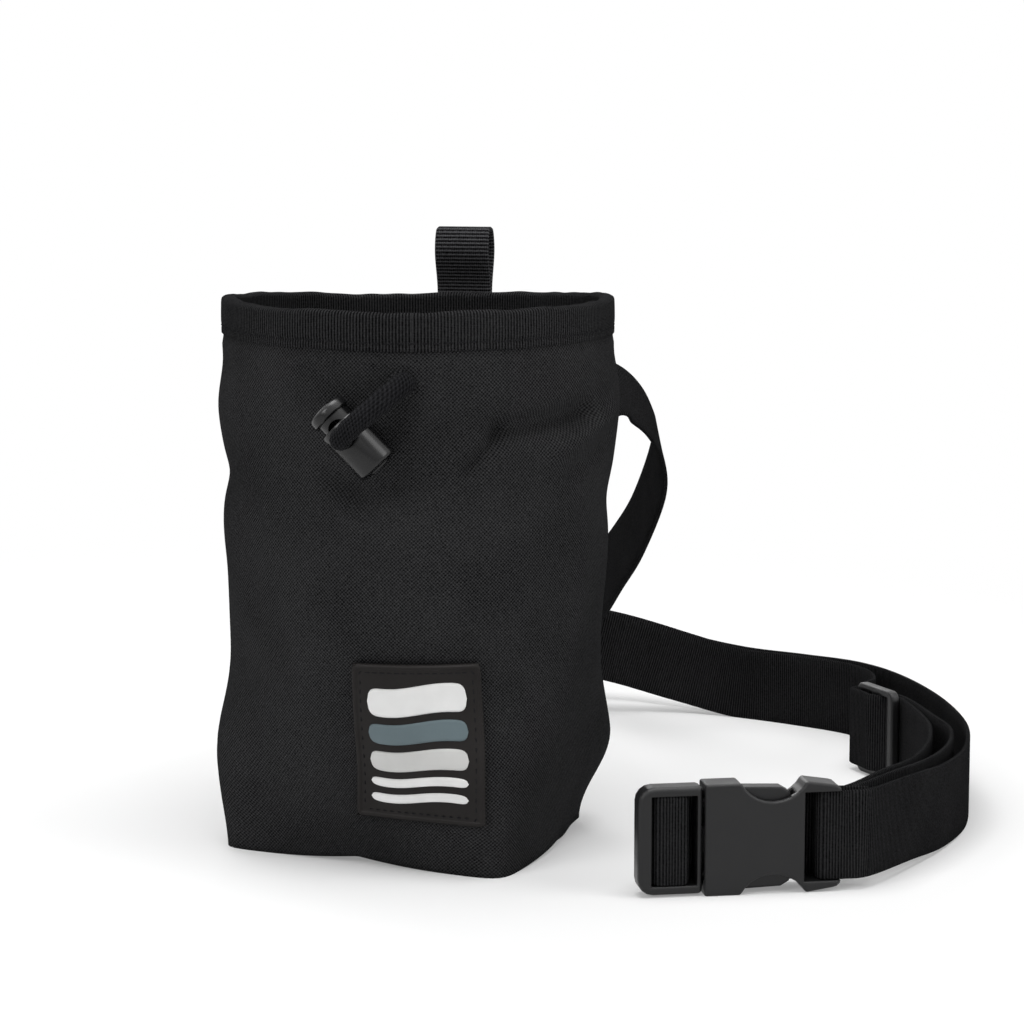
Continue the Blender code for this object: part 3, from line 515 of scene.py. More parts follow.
def cloth_point(turn, height, outset=0.0):
    """A point on the soft wall, with its folds."""
    return wall_point(turn, height, sag(turn, height) + outset)


def tucked(place, turn, height):
    """The slack corner of the base is tucked in under the bag."""
    slack = 0.15 * hump(turn, 0.0, 104, 0, 30, 1) * ease(1 - height / 0.032)
    return Vector((place.x * (1 - slack), place.y * (1 - slack), place.z))


def shell_place(s, t):
    turn = 2 * math.pi * s
    height = SHELL_TOP * t
    place = cloth_point(turn, height)
    place.z += lower_edge(turn) * ease(1 - height / 0.03) + rim_lift(turn) * upper_part(height)
    return tucked(place, turn, height)


def lower_ring(bm):
    return [edge for edge in open_edges(bm) if max(vert.co.z for vert in edge.verts) < 0.01]


def draw_in(bm, ring, inward):
    """Extrude a ring of edges towards the middle of the base; gives its new edges, points and faces."""
    made = bmesh.ops.extrude_edge_only(bm, edges=ring)["geom"]
    ring = [item for item in made if isinstance(item, bmesh.types.BMEdge)]
    points = {vert for edge in ring for vert in edge.verts}
    for vert in points:
        vert.co.x *= inward
        vert.co.y *= inward
    return ring, points, [item for item in made if isinstance(item, bmesh.types.BMFace)]


BASE_RINGS = 10
LAST_RING = 0.02
FLOOR_GAP = 0.0003
HEM_LIFT = 0.0011
bm = bent_grid(192, 96, shell_place, (0.362, SHELL_TOP), closed=True)
lower = lower_ring(bm)
for ring in range(BASE_RINGS):
    inward = 1 - 1 / (BASE_RINGS - ring) if ring < BASE_RINGS - 1 else LAST_RING
    lower, points, faces = draw_in(bm, lower, inward)
    for vert in points:
        vert.co.z = max(vert.co.z * 0.8, FLOOR_GAP) + (HEM_LIFT if ring == 1 else 0)
    map_uv(bm, faces, lambda spot: spot.xy)
close_holes(bm, lower)
shell = add_piece("bag_shell", bm, nylon)
thicken(shell, 0.0008)
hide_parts("outer_shell")
print("shell:", len(shell.data.polygons), "faces")

# %% [markdown]
# The lining is a second bag of fleece inside the first. Only its upper part is seen, so it is one bent grid
# with a lumpy pile, hung on the rim and clear of the drawcord's channel.

# %% Fleece lining
LINING_RADIUS = SHELL_RADIUS - 2.3 * MM
LINING_FLOOR = 0.0036
CHANNEL_DEPTH = 6.6 * MM
BASE_INSET = 2.0 * MM


def lining_place(s, t):
    turn = 2 * math.pi * s
    height = LINING_FLOOR + (SHELL_TOP - LINING_FLOOR) * t
    channel = SHELL_RADIUS - LINING_RADIUS + CHANNEL_DEPTH * ease((TAPE_EDGE - height) / 0.0053)
    inset = BASE_INSET + (channel - BASE_INSET) * ease((height / SHELL_TOP - 0.1) / 0.5)
    spot = Vector((math.sin(turn) * 6, math.cos(turn) * 6, height / 0.012))
    pile = 0.5 * MM * noise.noise(spot) * ease((TAPE_EDGE - height) / 0.02)
    place = wall_point(turn, height, pile - inset)
    place.z += rim_lift(turn) * upper_part(height)
    return tucked(place, turn, height)


bm = bent_grid(120, 64, lining_place, (0.34, SHELL_TOP), closed=True)
lower = lower_ring(bm)
for inward in (0.7, 0.55, 0.3, 0.05):
    lower = draw_in(bm, lower, inward)[0]
close_holes(bm, lower)
lining = add_piece("bag_lining", bm, fleece)
thicken(lining, 0.0006)
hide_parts("fleece_lining")
print("lining:", len(lining.data.polygons), "faces")

# %% [markdown]
# The rim is bound with grosgrain tape, folded over the edge and sewn through. A U-shaped section is bent
# round the mouth. Its ribs run up and down, which is across the tape, and its lower edge and crown waver a
# little, as sewn tape does. The stitches pull a shallow groove into it.

# %% Rim binding
TAPE = 0.0005
TAPE_WIDTH = 0.030
OUTER_SHARE = 0.36
INNER_SHARE = 0.64
STITCH_SHARE = 0.24
GROOVE = 0.3 * MM


def rim_wave(turn):
    spot = Vector((math.sin(turn) * 3.1, math.cos(turn) * 3.1, 0.4))
    return noise.noise(spot) + 0.4 * noise.noise(spot * 2.7)


def tape_place(s, t):
    """t runs from the outer lower edge over the crown to the inner lower edge."""
    turn = 2 * math.pi * s
    waver = rim_wave(turn)
    leg = BINDING_HEIGHT - CROWN
    middle = (RIM_RADIUS + BINDING_INNER) / 2
    half = (RIM_RADIUS - BINDING_INNER) / 2 - TAPE / 2
    if t < OUTER_SHARE:
        share = t / OUTER_SHARE
        groove = GROOVE * math.exp(-((share - STITCH_SHARE) / 0.05) ** 2)
        radius = middle + half + 0.12 * MM * (math.sin(math.pi * share) + waver) - groove
        height = BAG_HEIGHT - CROWN - (leg - 0.5 * MM * waver) * (1 - share)
    elif t > INNER_SHARE:
        share = (t - INNER_SHARE) / (1 - INNER_SHARE)
        radius = middle - half
        height = BAG_HEIGHT - CROWN - leg * share * 0.95
    else:
        angle = math.pi * (t - OUTER_SHARE) / (INNER_SHARE - OUTER_SHARE)
        radius = middle + half * math.cos(angle)
        height = BAG_HEIGHT - CROWN + (CROWN - TAPE / 2) * math.sin(angle)
    height += 0.85 * MM * waver * ease((height - BAG_HEIGHT + 0.006) / 0.004) + rim_lift(turn)
    return polar(turn, radius, height)


bm = bent_grid(424, 36, tape_place, (2 * math.pi * RIM_RADIUS, TAPE_WIDTH), closed=True)
binding = add_piece("rim_tape", bm, grosgrain)
thicken(binding, TAPE, 0)
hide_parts("rim_binding")
print("binding:", len(binding.data.polygons), "faces")

# %% [markdown]
# Stitches are short bars, repeated along a line. Each bar is a cube, narrowed at its top and turned to lie
# along the line, and all the bars of a seam become one piece. They sink partly into the cloth.

# %% Stitches
RIM_STITCHES = 106
RIM_STITCH = 0.0026
INNER_STITCH_SHARE = 0.74
STITCH_LIFT = 0.00032
STITCH_THICK = 0.0005
STITCH_TOP = 0.62


def stitch_bar(bm, place, along, outward, length):
    made = bmesh.ops.create_cube(bm, size=1.0)["verts"]
    side = outward.cross(along).normalized()
    lie = Matrix((along.normalized(), side, outward.normalized())).transposed()
    for vert in made:
        x, y, z = vert.co
        squeeze = STITCH_TOP if z > 0 else 1.0
        local = Vector((x * length * squeeze, y * STITCH_THICK * squeeze, z * STITCH_THICK))
        vert.co = place + lie @ local


def seam(name, points, outwards, length):
    bm = bmesh.new()
    for (before, place, after), outward in zip(zip(points, points[1:], points[2:]), outwards[1:]):
        along = after - before
        along -= outward * along.dot(outward)
        stitch_bar(bm, place, along, outward, length)
    piece = add_piece(name, bm, thread, smooth=False)
    modifier(piece, "BEVEL", width=0.0001, segments=1)


def rim_seam(name, share, sign):
    turns = [2 * math.pi * k / RIM_STITCHES for k in range(RIM_STITCHES + 2)]
    outward = [sign * facing(turn) for turn in turns]
    points = [tape_place((turn / (2 * math.pi)) % 1.0, share) + out * STITCH_LIFT
              for turn, out in zip(turns, outward)]
    seam(name, points, outward, RIM_STITCH)


rim_seam("rim_stitches_outside", OUTER_SHARE * STITCH_SHARE, 1)
rim_seam("rim_stitches_inside", INNER_SHARE + (1 - INNER_SHARE) * INNER_STITCH_SHARE, -1)
print("rim stitches made:", RIM_STITCHES, "in each row")

# %% [markdown]
# Webbing is a flat band with rounded edges that follows a route. Each station of the route is a place and the
# direction of the band's width, so the band can turn and twist. The stations follow those of the solids.

# %% Bands of webbing
WEBBING_WIDTH = 0.0254
WEBBING_THICK = 0.0014
BAND_EDGE = 0.45 * MM
BAND_COLUMNS = 8
BAND_STEPS = 6
GAP = 0.0003
BACK = math.pi - math.radians(12.4)


def smooth_path(points, per_span):
    ends = [2 * points[0] - points[1], *points, 2 * points[-1] - points[-2]]
    path = []
    for a, b, c, d in zip(ends, ends[1:], ends[2:], ends[3:]):
        for k in range(per_span):
            t = k / per_span
            path.append(0.5 * (2 * b + (c - a) * t + (2 * a - 5 * b + 4 * c - d) * t**2
                               + (3 * b - a - 3 * c + d) * t**3))
    return [*path, points[-1]]


def directions(path):
    pairs = zip([path[0], *path[:-1]], [*path[1:], path[-1]])
    return [(after - before).normalized() for before, after in pairs]


def band_frames(stations):
    """Along the route: place, width direction and outward direction."""
    path, sides = (smooth_path(list(column), BAND_STEPS) for column in zip(*stations))
    frames = []
    for place, along, across in zip(path, directions(path), sides):
        across = (across - along * across.dot(along)).normalized()
        frames.append((place, across, along.cross(across)))
    return frames


def band(name, stations, width, material):
    """A closed band: a grid goes once round the flat section and once along the route."""
    frames = band_frames(stations)
    half, flat = width / 2, WEBBING_THICK / 2
    steps = [half - BAND_EDGE - (width - 2 * BAND_EDGE) * k / BAND_COLUMNS for k in range(BAND_COLUMNS + 1)]
    section = [(-x, -flat) for x in steps]
    section += [(half, -0.4 * flat), (half, 0.4 * flat)]
    section += [(x, flat) for x in steps]
    section += [(-half, 0.4 * flat), (-half, -0.4 * flat)]
    count, last = len(section), len(frames) - 1
    lengths = [0.0]
    for here, beyond in zip(frames, frames[1:]):
        lengths.append(lengths[-1] + (beyond[0] - here[0]).length)

    def place(s, t):
        spot, across, out = frames[round(t * last)]
        x, y = section[round(s * count) % count]
        return spot + across * x + out * y

    def measure(s, t):
        return section[round(s * count) % count][0] + half, lengths[round(t * last)]

    bm = bent_grid(count, last, place, measure, closed=True)
    close_holes(bm, open_edges(bm))
    return add_piece(name, bm, material)


def at(x, y, z=None, across=UP):
    """A station in millimetres; without a height, the band stands on the floor on its edge."""
    height = WEBBING_WIDTH / 2 if z is None else z * MM
    return Vector((x * MM, y * MM, height)), Vector(across)


# %% [markdown]
# The hang loop is a short piece of narrow webbing, folded double and sewn behind the rim. The tunnel is a
# wider piece, sewn to the back along its upper and lower edge so the belt can pass behind it.

# %% Hang loop and tunnel
LOOP_WIDTH = 0.0175
LOOP_RISE = 0.0192
LOOP_TAIL = 0.010
LOOP_SPREAD = 0.0043
back_out = facing(BACK)
loop_across = UP.cross(back_out)
inner = RIM_RADIUS + GAP + WEBBING_THICK / 2
outer = inner + WEBBING_THICK + 2 * GAP
middle = (inner + outer) / 2
loop_low = BAG_HEIGHT - LOOP_TAIL
loop_wide = BAG_HEIGHT + 0.55 * LOOP_RISE
loop_high = BAG_HEIGHT + LOOP_RISE - WEBBING_THICK / 2
shoulder = loop_high - 0.3 * LOOP_SPREAD
loop_profile = [(inner, loop_low), (inner, BAG_HEIGHT), (middle - LOOP_SPREAD, loop_wide),
                (middle - 0.7 * LOOP_SPREAD, shoulder), (middle, loop_high),
                (middle + 0.7 * LOOP_SPREAD, shoulder), (middle + LOOP_SPREAD, loop_wide),
                (outer, BAG_HEIGHT), (outer, loop_low)]
loop = band("webbing_hang_loop", [(back_out * r + UP * z, loop_across) for r, z in loop_profile],
            LOOP_WIDTH, loop_webbing)
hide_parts("hang_loop")

BELT_HEIGHT = BAG_HEIGHT - 0.033
TUNNEL_LENGTH = 0.032
TUNNEL_ROOM = 0.0016
TUNNEL_SEAM = 0.005
TUNNEL_REACH = WEBBING_WIDTH / 2 + TUNNEL_ROOM / 2
TUNNEL_HALF = TUNNEL_REACH + TUNNEL_ROOM + TUNNEL_SEAM
TUNNEL_STITCHES = 13


def tunnel_outset(height):
    inside = TUNNEL_REACH + TUNNEL_ROOM - abs(height - BELT_HEIGHT)
    return GAP + (WEBBING_THICK + TUNNEL_ROOM) * ease(inside / TUNNEL_ROOM)


def tunnel_place(s, t):
    height = BELT_HEIGHT + TUNNEL_HALF * (2 * t - 1)
    turn = BACK + TUNNEL_LENGTH * (s - 0.5) / wall_radius(BACK, height)
    return wall_point(turn, height, tunnel_outset(height) + WEBBING_THICK / 2)


bm = bent_grid(24, 48, tunnel_place, (TUNNEL_LENGTH, 2 * TUNNEL_HALF))
tunnel = add_piece("webbing_tunnel", bm, webbing)
thicken(tunnel, WEBBING_THICK, 0)
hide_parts("belt_tunnel")
for name, share in (("tunnel_stitches_upper", 0.94), ("tunnel_stitches_lower", 0.06)):
    steps = [k / TUNNEL_STITCHES for k in range(TUNNEL_STITCHES + 1)]
    points = [tunnel_place(s, share) + back_out * WEBBING_THICK / 2 for s in steps]
    seam(name, points, [back_out] * len(points), 0.0019)
print("loop and tunnel made")

# %% [markdown]
# The label is a moulded rubber patch with a raised border and a sewn groove. Its face carries a plain pattern
# of raised wavy bands, in the light grey, white and slate that suit such a patch. It widens a little towards
# its foot.

# %% Label
LABEL_WIDTH = 0.0365
LABEL_HEIGHT = 0.048
LABEL_CENTRE = 0.040
LABEL_TURN = math.radians(0.6)
LABEL_CORNER = 0.002
LABEL_SEAM = 0.0026
LABEL_WIDENING = 0.10
LABEL_SHIFT = 0.7 * MM
FACE = 3 * GAP + 0.0016


def along_wall(turn, height, distance, steps=6):
    """The turn that lies a distance along the wall from another turn."""
    small = 0.001
    for _ in range(steps):
        speed = (wall_point(turn + small, height) - wall_point(turn, height)).length / small
        turn += distance / steps / speed
    return turn


def label_point(x, y, outset):
    """x and y are metres from the label's middle, along the wall."""
    height = LABEL_CENTRE + y
    lower = 0.5 - y / LABEL_HEIGHT
    turn = along_wall(LABEL_TURN, height, x * (1 + LABEL_WIDENING * lower) + LABEL_SHIFT * lower)
    return cloth_point(turn, height, outset)


def past_straight(x, y):
    """How far a point is past the straight part of the label's edges: in x, in y and in all."""
    past_x = max(abs(x) - LABEL_WIDTH / 2 + LABEL_CORNER, 0)
    past_y = max(abs(y) - LABEL_HEIGHT / 2 + LABEL_CORNER, 0)
    return past_x, past_y, math.hypot(past_x, past_y)


def label_relief(x, y):
    """How far the face stands out, from its distance inside the rounded edge."""
    past_x, past_y, past = past_straight(x, y)
    edge = LABEL_CORNER - past
    if past_x == 0:
        edge = min(edge, max(LABEL_WIDTH / 2 - abs(x), 0))
    if past_y == 0:
        edge = min(edge, max(LABEL_HEIGHT / 2 - abs(y), 0))
    border = 0.35 * MM * ease(edge / 0.0006) * (1 - ease((edge - 0.0013) / 0.0004))
    groove = -0.3 * MM * ease(1 - abs(edge - LABEL_SEAM) / 0.0007)
    fall = -0.7 * MM * (1 - ease(edge / 0.0007))
    return border + groove + fall


def label_place(s, t):
    x, y = LABEL_WIDTH * (s - 0.5), LABEL_HEIGHT * (t - 0.5)
    past_x, past_y, past = past_straight(x, y)
    if min(past_x, past_y) > 0 and past > LABEL_CORNER:
        shrink = LABEL_CORNER / past
        x = math.copysign(LABEL_WIDTH / 2 - LABEL_CORNER + past_x * shrink, x)
        y = math.copysign(LABEL_HEIGHT / 2 - LABEL_CORNER + past_y * shrink, y)
    return label_point(x, y, FACE + label_relief(x, y))


bm = bent_grid(146, 192, label_place, (LABEL_WIDTH, LABEL_HEIGHT))
label = add_piece("label_rubber_patch", bm, rubber)
thicken(label, 0.0008)
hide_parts("label_patch")

BAND_REACH = 0.0136
SWAY = 0.0010


def label_band(name, material, low, high):
    """A raised band across the label, with wavy edges and rounded ends."""
    def place(s, t):
        x = BAND_REACH * (2 * s - 1)
        ends = math.sqrt(max(1 - (2 * s - 1) ** 16, 0))
        y = (low + high) / 2 + (high - low) * (t - 0.5) * ends + SWAY * math.sin(x / 0.0052)
        rim = min(t, 1 - t) * (high - low)
        return label_point(x, y, FACE + 0.35 * MM * ease(rim / 0.0005) + 0.05 * MM)
    piece = add_piece(name, bent_grid(72, 20, place, (2 * BAND_REACH, high - low)), material)
    thicken(piece, 0.0003)
    return piece


bands = [label_band("label_band_white", rubber_white, 0.0090, 0.0176),
         label_band("label_band_slate", rubber_slate, 0.0006, 0.0068),
         label_band("label_band_light", rubber_light, -0.0078, -0.0016),
         label_band("label_band_thin_upper", rubber_white, -0.0128, -0.0100),
         label_band("label_band_thin_lower", rubber_white, -0.0178, -0.0150)]
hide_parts("label_emblem")

SIDE_STITCHES = 15
wide, tall = LABEL_WIDTH / 2 - LABEL_SEAM, LABEL_HEIGHT / 2 - LABEL_SEAM
corners = ((-wide, -tall), (wide, -tall), (wide, tall), (-wide, tall), (-wide, -tall))
corners = [Vector(corner) for corner in corners]
around = []
for here, beyond in zip(corners, corners[1:]):
    around += [here.lerp(beyond, k / SIDE_STITCHES) for k in range(SIDE_STITCHES)]
around.append(corners[0])
points = [label_point(p.x, p.y, FACE - 0.15 * MM) for p in around]
outs = [Vector((p.x, p.y, 0)).normalized() for p in points]
seam("label_stitches", points, outs, 0.0021)
print("label made")

# %% [markdown]
# The drawcord runs in its channel, comes out of a worked opening at the front and passes through the lock. It
# is a soft cord between 5 and 6 mm thick. The route is that of the solid, and a braid's bumps are put on it.

# %% Drawcord
CORD_DIAMETER = 0.0056
CORD_TURN = math.radians(-3)
LOCK_TURN = math.radians(-13.0)
LOCK_TILT = math.radians(-45)
LOCK_RADIUS = 0.0064
LOCK_LENGTH = 0.0165
HOLE_PLACE = 0.0040
lock_out = facing(LOCK_TURN)
lock_along = UP.cross(lock_out) * math.sin(LOCK_TILT) + UP * math.cos(LOCK_TILT)
lock_side = (-lock_out).cross(lock_along)
lock_place = wall_point(LOCK_TURN, BAG_HEIGHT - 0.0370) + lock_out * (LOCK_RADIUS + 0.0012)
LOCK_POSE = Matrix.Translation(lock_place) @ Matrix((lock_side, -lock_out, lock_along)).transposed().to_4x4()
cord_out = facing(CORD_TURN)
eyelet = wall_point(CORD_TURN, CORD_HEIGHT)
through = lock_place + lock_along * HOLE_PLACE
front = through + lock_out * (LOCK_RADIUS + CORD_DIAMETER * 0.62)
clear_of_lock = eyelet.lerp(front, 0.62) + lock_out * 0.0045
inset = 0.0010 + 2 * GAP + CORD_DIAMETER / 2
cord_stations = [wall_point(CORD_TURN + math.radians(18 + 12 * k), CORD_HEIGHT, -inset) for k in range(28)]
exit_station = len(cord_stations) + 2
cord_stations += [eyelet - cord_out * 0.0030, eyelet, eyelet + cord_out * 0.0040, clear_of_lock, front,
                  through + lock_out * LOCK_RADIUS * 0.55, through,
                  through - lock_out * (LOCK_RADIUS - 2 * GAP)]
cord_path = smooth_path(cord_stations, 8)
cord_frames = []
side = UP
for spot, along in zip(cord_path, directions(cord_path)):
    side = (side - along * side.dot(along)).normalized()
    cord_frames.append((spot, side, along.cross(side)))
EXIT_SHARE = exit_station / (len(cord_stations) - 1)


def cord_surface(s, t):
    index = round(t * (len(cord_frames) - 1))
    spot, side, other = cord_frames[index]
    angle = 2 * math.pi * s
    plait = 0.06 * math.sin(6 * angle + index * 0.8) * math.sin(6 * angle - index * 0.8)
    swell = 0.16 * math.exp(-((t - EXIT_SHARE) / 0.03) ** 2)
    radius = CORD_DIAMETER / 2 * (1.05 + plait + swell)
    return spot + (side * math.cos(angle) + other * math.sin(angle)) * radius


bm = bent_grid(36, len(cord_frames) - 1, cord_surface, (math.pi * CORD_DIAMETER, 0.42), closed=True)
close_holes(bm, open_edges(bm))
drawcord = add_piece("braided_drawcord", bm, braid)
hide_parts("drawcord")

cord_right = UP.cross(cord_out)


def buttonhole_place(s, t):
    """The worked edge of the opening: a low ring that lies on the cloth round the cord."""
    angle = 2 * math.pi * s
    radius = CORD_DIAMETER / 2 * 1.08 + 1.6 * MM * t
    aside, above = radius * math.cos(angle), radius * math.sin(angle)
    lift = 1.25 * MM - 0.5 * MM * t**2 - aside**2 / (2 * SHELL_RADIUS)
    return eyelet + cord_right * aside + UP * above + cord_out * lift


bm = bent_grid(48, 6, buttonhole_place, (0.02, 0.0016), closed=True)
buttonhole = add_piece("cord_buttonhole", bm, nylon)
thicken(buttonhole, 0.0004)
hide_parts("cord_eyelet")
print("drawcord made")

# %% [markdown]
# The lock is a moulded barrel with a sprung plunger in it. Both are turned from a profile with spin, and
# Booleans cut the bore, the cord's hole and three pockets in the plunger's head. A coil of wire sits under
# the plunger.

# %% Cord lock
LOCK_WALL = 1.2 * MM
LOCK_PLAY = 0.25 * MM
CORD_HOLE = 3.1 * MM
CUT_REACH = 0.02
PRESS = 2.6 * MM
HEAD_RADIUS = 6.0 * MM
HEAD_HEIGHT = 3.6 * MM
SHARP = math.radians(40)
TURNED_STEPS = 48
HOLE_SIDES = 40


def turned(profile):
    """A solid turned on the lock's axis from (radius, height) points, closed at both ends."""
    bm = bmesh.new()
    profile = [(0, profile[0][1]), *profile, (0, profile[-1][1])]
    verts = [bm.verts.new((radius, 0, height)) for radius, height in profile]
    edges = [bm.edges.new(pair) for pair in zip(verts, verts[1:])]
    bmesh.ops.spin(bm, geom=verts + edges, cent=(0, 0, 0), axis=(0, 0, 1), angle=2 * math.pi,
                   steps=TURNED_STEPS, use_merge=True)
    bmesh.ops.remove_doubles(bm, verts=bm.verts, dist=1e-7)
    face_out(bm)
    bmesh.ops.transform(bm, matrix=LOCK_POSE, verts=bm.verts)
    return bm


def cutter(name, bm):
    bmesh.ops.transform(bm, matrix=LOCK_POSE, verts=bm.verts)
    face_out(bm)
    return new_object(name, bm)


def carve(piece, cutters):
    """Cut the shapes out of the piece, apply the cuts and smooth all but its sharp edges."""
    for tool in cutters:
        modifier(piece, "BOOLEAN", operation="DIFFERENCE", solver="EXACT", object=tool)
    graph = bpy.context.evaluated_depsgraph_get()
    carved = bpy.data.meshes.new_from_object(piece.evaluated_get(graph))
    piece.modifiers.clear()
    piece.data = carved
    for tool in cutters:
        bpy.data.objects.remove(tool, do_unlink=True)
    piece.data.shade_smooth()
    piece.data.set_sharp_from_angle(angle=SHARP)


def cylinder(radius, low, high, turn=Matrix.Identity(4)):
    bm = bmesh.new()
    bmesh.ops.create_cone(bm, cap_ends=True, segments=HOLE_SIDES, radius1=radius, radius2=radius,
                          depth=high - low)
    bmesh.ops.translate(bm, verts=bm.verts, vec=(0, 0, (low + high) / 2))
    bmesh.ops.transform(bm, matrix=turn, verts=bm.verts)
    return bm


half = LOCK_LENGTH / 2
bm = turned([(LOCK_RADIUS + x * MM, end + z * MM) for x, end, z in (
    (-2.6, -half, 0.5), (-2.2, -half, 0), (-0.9, -half, 0), (-0.3, -half, 0.35), (0, -half, 1),
    (0, half, -2.2), (0.12, half, -2), (0.12, half, -0.7), (-0.1, half, -0.15), (-0.5, half, 0))])
barrel = add_piece("lock_barrel", bm, lock_plastic, smooth=False)
sideways = Matrix.Translation((0, 0, HOLE_PLACE)) @ Matrix.Rotation(math.pi / 2, 4, "X")
carve(barrel, [cutter("bore", cylinder(LOCK_RADIUS - LOCK_WALL, -half + LOCK_WALL, half + MM)),
               cutter("cord_hole", cylinder(CORD_HOLE, -CUT_REACH, CUT_REACH, sideways))])
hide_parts("cord_lock_barrel")

shaft = LOCK_RADIUS - LOCK_WALL - LOCK_PLAY
foot = HOLE_PLACE - CORD_HOLE - 0.8 * MM
head = half + PRESS + GAP
tip = head + HEAD_HEIGHT
profile = [(shaft - 0.3 * MM, foot), (shaft, foot + 0.3 * MM), (shaft, head)]
profile += [(HEAD_RADIUS + x * MM, end + z * MM) for x, end, z in (
    (-0.4, head, 0), (0, head, 0.4), (0, head, 1.9), (-0.2, head, 2.6), (-0.8, head, 3.2),
    (-1.8, tip, -0.12), (-2.6, tip, 0), (-3.1, tip, -0.35), (-4.8, tip, -0.55))]
bm = turned(profile)
plunger = add_piece("lock_plunger", bm, lock_plastic, body="lock_plunger", smooth=False)
steps = [Matrix.Translation((0, 0, PRESS * k / 2)) @ sideways for k in range(3)]
cuts = [cylinder(CORD_HOLE, -CUT_REACH, CUT_REACH, step) for step in steps]
for k in range(3):
    spoke = Matrix.Rotation(math.radians(120 * k), 4, "Z") @ Matrix.Translation((2.6 * MM, 0, 0))
    cuts.append(cylinder(1.25 * MM, tip - 1.8 * MM, tip + MM, spoke))
carve(plunger, [cutter(f"slot_{k}", cut) for k, cut in enumerate(cuts)])
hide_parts("cord_lock_plunger")

WIRE = 0.6 * MM
COIL = shaft - WIRE
spring_low = -half + LOCK_WALL + GAP + WIRE / 2
spring_high = foot - GAP - WIRE / 2


def spring_place(s, t):
    """s runs round the wire and t along three turns of it."""
    angle, around = 6 * math.pi * t, 2 * math.pi * s
    spoke = Vector((math.cos(angle), math.sin(angle), 0))
    centre = spoke * COIL + UP * (spring_low + (spring_high - spring_low) * t)
    return LOCK_POSE @ (centre + (spoke * math.cos(around) + UP * math.sin(around)) * WIRE / 2)


bm = bent_grid(10, 96, spring_place, (math.pi * WIRE, 0.08), closed=True)
close_holes(bm, open_edges(bm))
spring = add_piece("lock_spring", bm, steel)
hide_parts("cord_lock_spring")
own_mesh(spring)
print("cord lock made")

# %% [markdown]
# The belt is one strap of 25 mm webbing. It goes through the tunnel, and its two halves lie behind the bag
# and come round to the buckle. One half is sewn round the bar of the socket. The other has a half twist,
# passes the slider, goes round the bar of the plug and comes back to the slider. Its stations are those of
# the solids, but it is a little wider and sits lower behind the buckle, to hide the floor behind the slots.

# %% Belt
BUCKLE_WIDTH = 0.0325
BUCKLE_THICK = 0.0090
BUCKLE_TURN = Matrix.Rotation(math.radians(9), 4, "Z")
BUCKLE_POSE = Matrix.Translation((0.0825, -0.0710, BUCKLE_WIDTH / 2)) @ BUCKLE_TURN
SLIDER_TURN = Matrix.Rotation(math.radians(-66), 4, "Z")
SLIDER_WIDTH = 0.0305
SLIDER_POSE = Matrix.Translation((0.1505, 0.0780, SLIDER_WIDTH / 2)) @ SLIDER_TURN
SLIDER_BAR = 0.0030
SLIDER_SLOT = 0.0068
SLIDER_END = 1.5 * SLIDER_BAR + SLIDER_SLOT
BAR = 0.0034
SOCKET_END = 0.0400
BAR_INSET = 0.0012
PLUG_GAP = 0.0005
PLUG_FRAME = 0.0015
PLUG_SLOT = 0.0042
PLUG_BAR_HALF = 0.0032
BEHIND_DROP = 1.6 * MM
LAYER = WEBBING_THICK + 2 * GAP
BELT_WIDTH = WEBBING_WIDTH + 0.5 * MM


def on(pose, x, y, drop=0.0):
    """A station in metres in the frame of the buckle or the slider; drop lowers it."""
    return pose @ Vector((x, y, -drop)), UP.copy()


def through_tunnel(turns):
    seat = GAP + TUNNEL_ROOM / 2 + WEBBING_THICK / 2
    reach = WEBBING_WIDTH / 2
    stations = []
    for turn in (BACK + math.radians(t) for t in turns):
        upper = wall_point(turn, BELT_HEIGHT + reach, seat)
        lower = wall_point(turn, BELT_HEIGHT - reach, seat)
        stations.append(((upper + lower) / 2, (upper - lower).normalized()))
    return stations


bar = SOCKET_END - BAR / 2 - BAR_INSET
fold = BAR / 2 + 2 * GAP + WEBBING_THICK / 2
buckle_side = through_tunnel((0.2, 6, 12, 18, 24))
buckle_side += [at(-26, 59, 130.5), at(-38, 70, 124), at(-43, 88, 107), at(-38, 114, 80), at(-27, 142, 53),
                at(-10, 172, 35), at(14, 196, 28), at(42, 206, 25), at(68, 204, 20), at(92, 192, 15),
                at(113.5, 177), at(133.5, 162.5), at(151.5, 147.8), at(163.5, 124), at(172, 86),
                at(174.5, 45), at(169.5, 9), at(159, -19, 13.4), at(146, -42, 15.2)]
buckle_side += [on(BUCKLE_POSE, bar + x, y) for x, y in (
    (0.012, -0.0011), (0.004, -fold), (-0.4 * fold, -fold), (-0.95 * fold, -0.78 * fold), (-1.17 * fold, 0),
    (-0.95 * fold, 0.78 * fold), (-0.4 * fold, fold), (0.004, fold), (0.012, 0.0014))]
strap = band("webbing_buckle_side", buckle_side, BELT_WIDTH, webbing)
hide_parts("belt_buckle_side")

side = 0.0015 + 2 * GAP + WEBBING_THICK / 2
over = side + LAYER
back = BUCKLE_THICK / 2 + 2 * GAP + WEBBING_THICK / 2
plug_bar = -(PLUG_GAP + PLUG_FRAME + PLUG_SLOT + PLUG_BAR_HALF)
near, far = plug_bar + PLUG_BAR_HALF, plug_bar - PLUG_BAR_HALF
face = -fold
low = BEHIND_DROP
slot = (SLIDER_BAR + SLIDER_SLOT) / 2
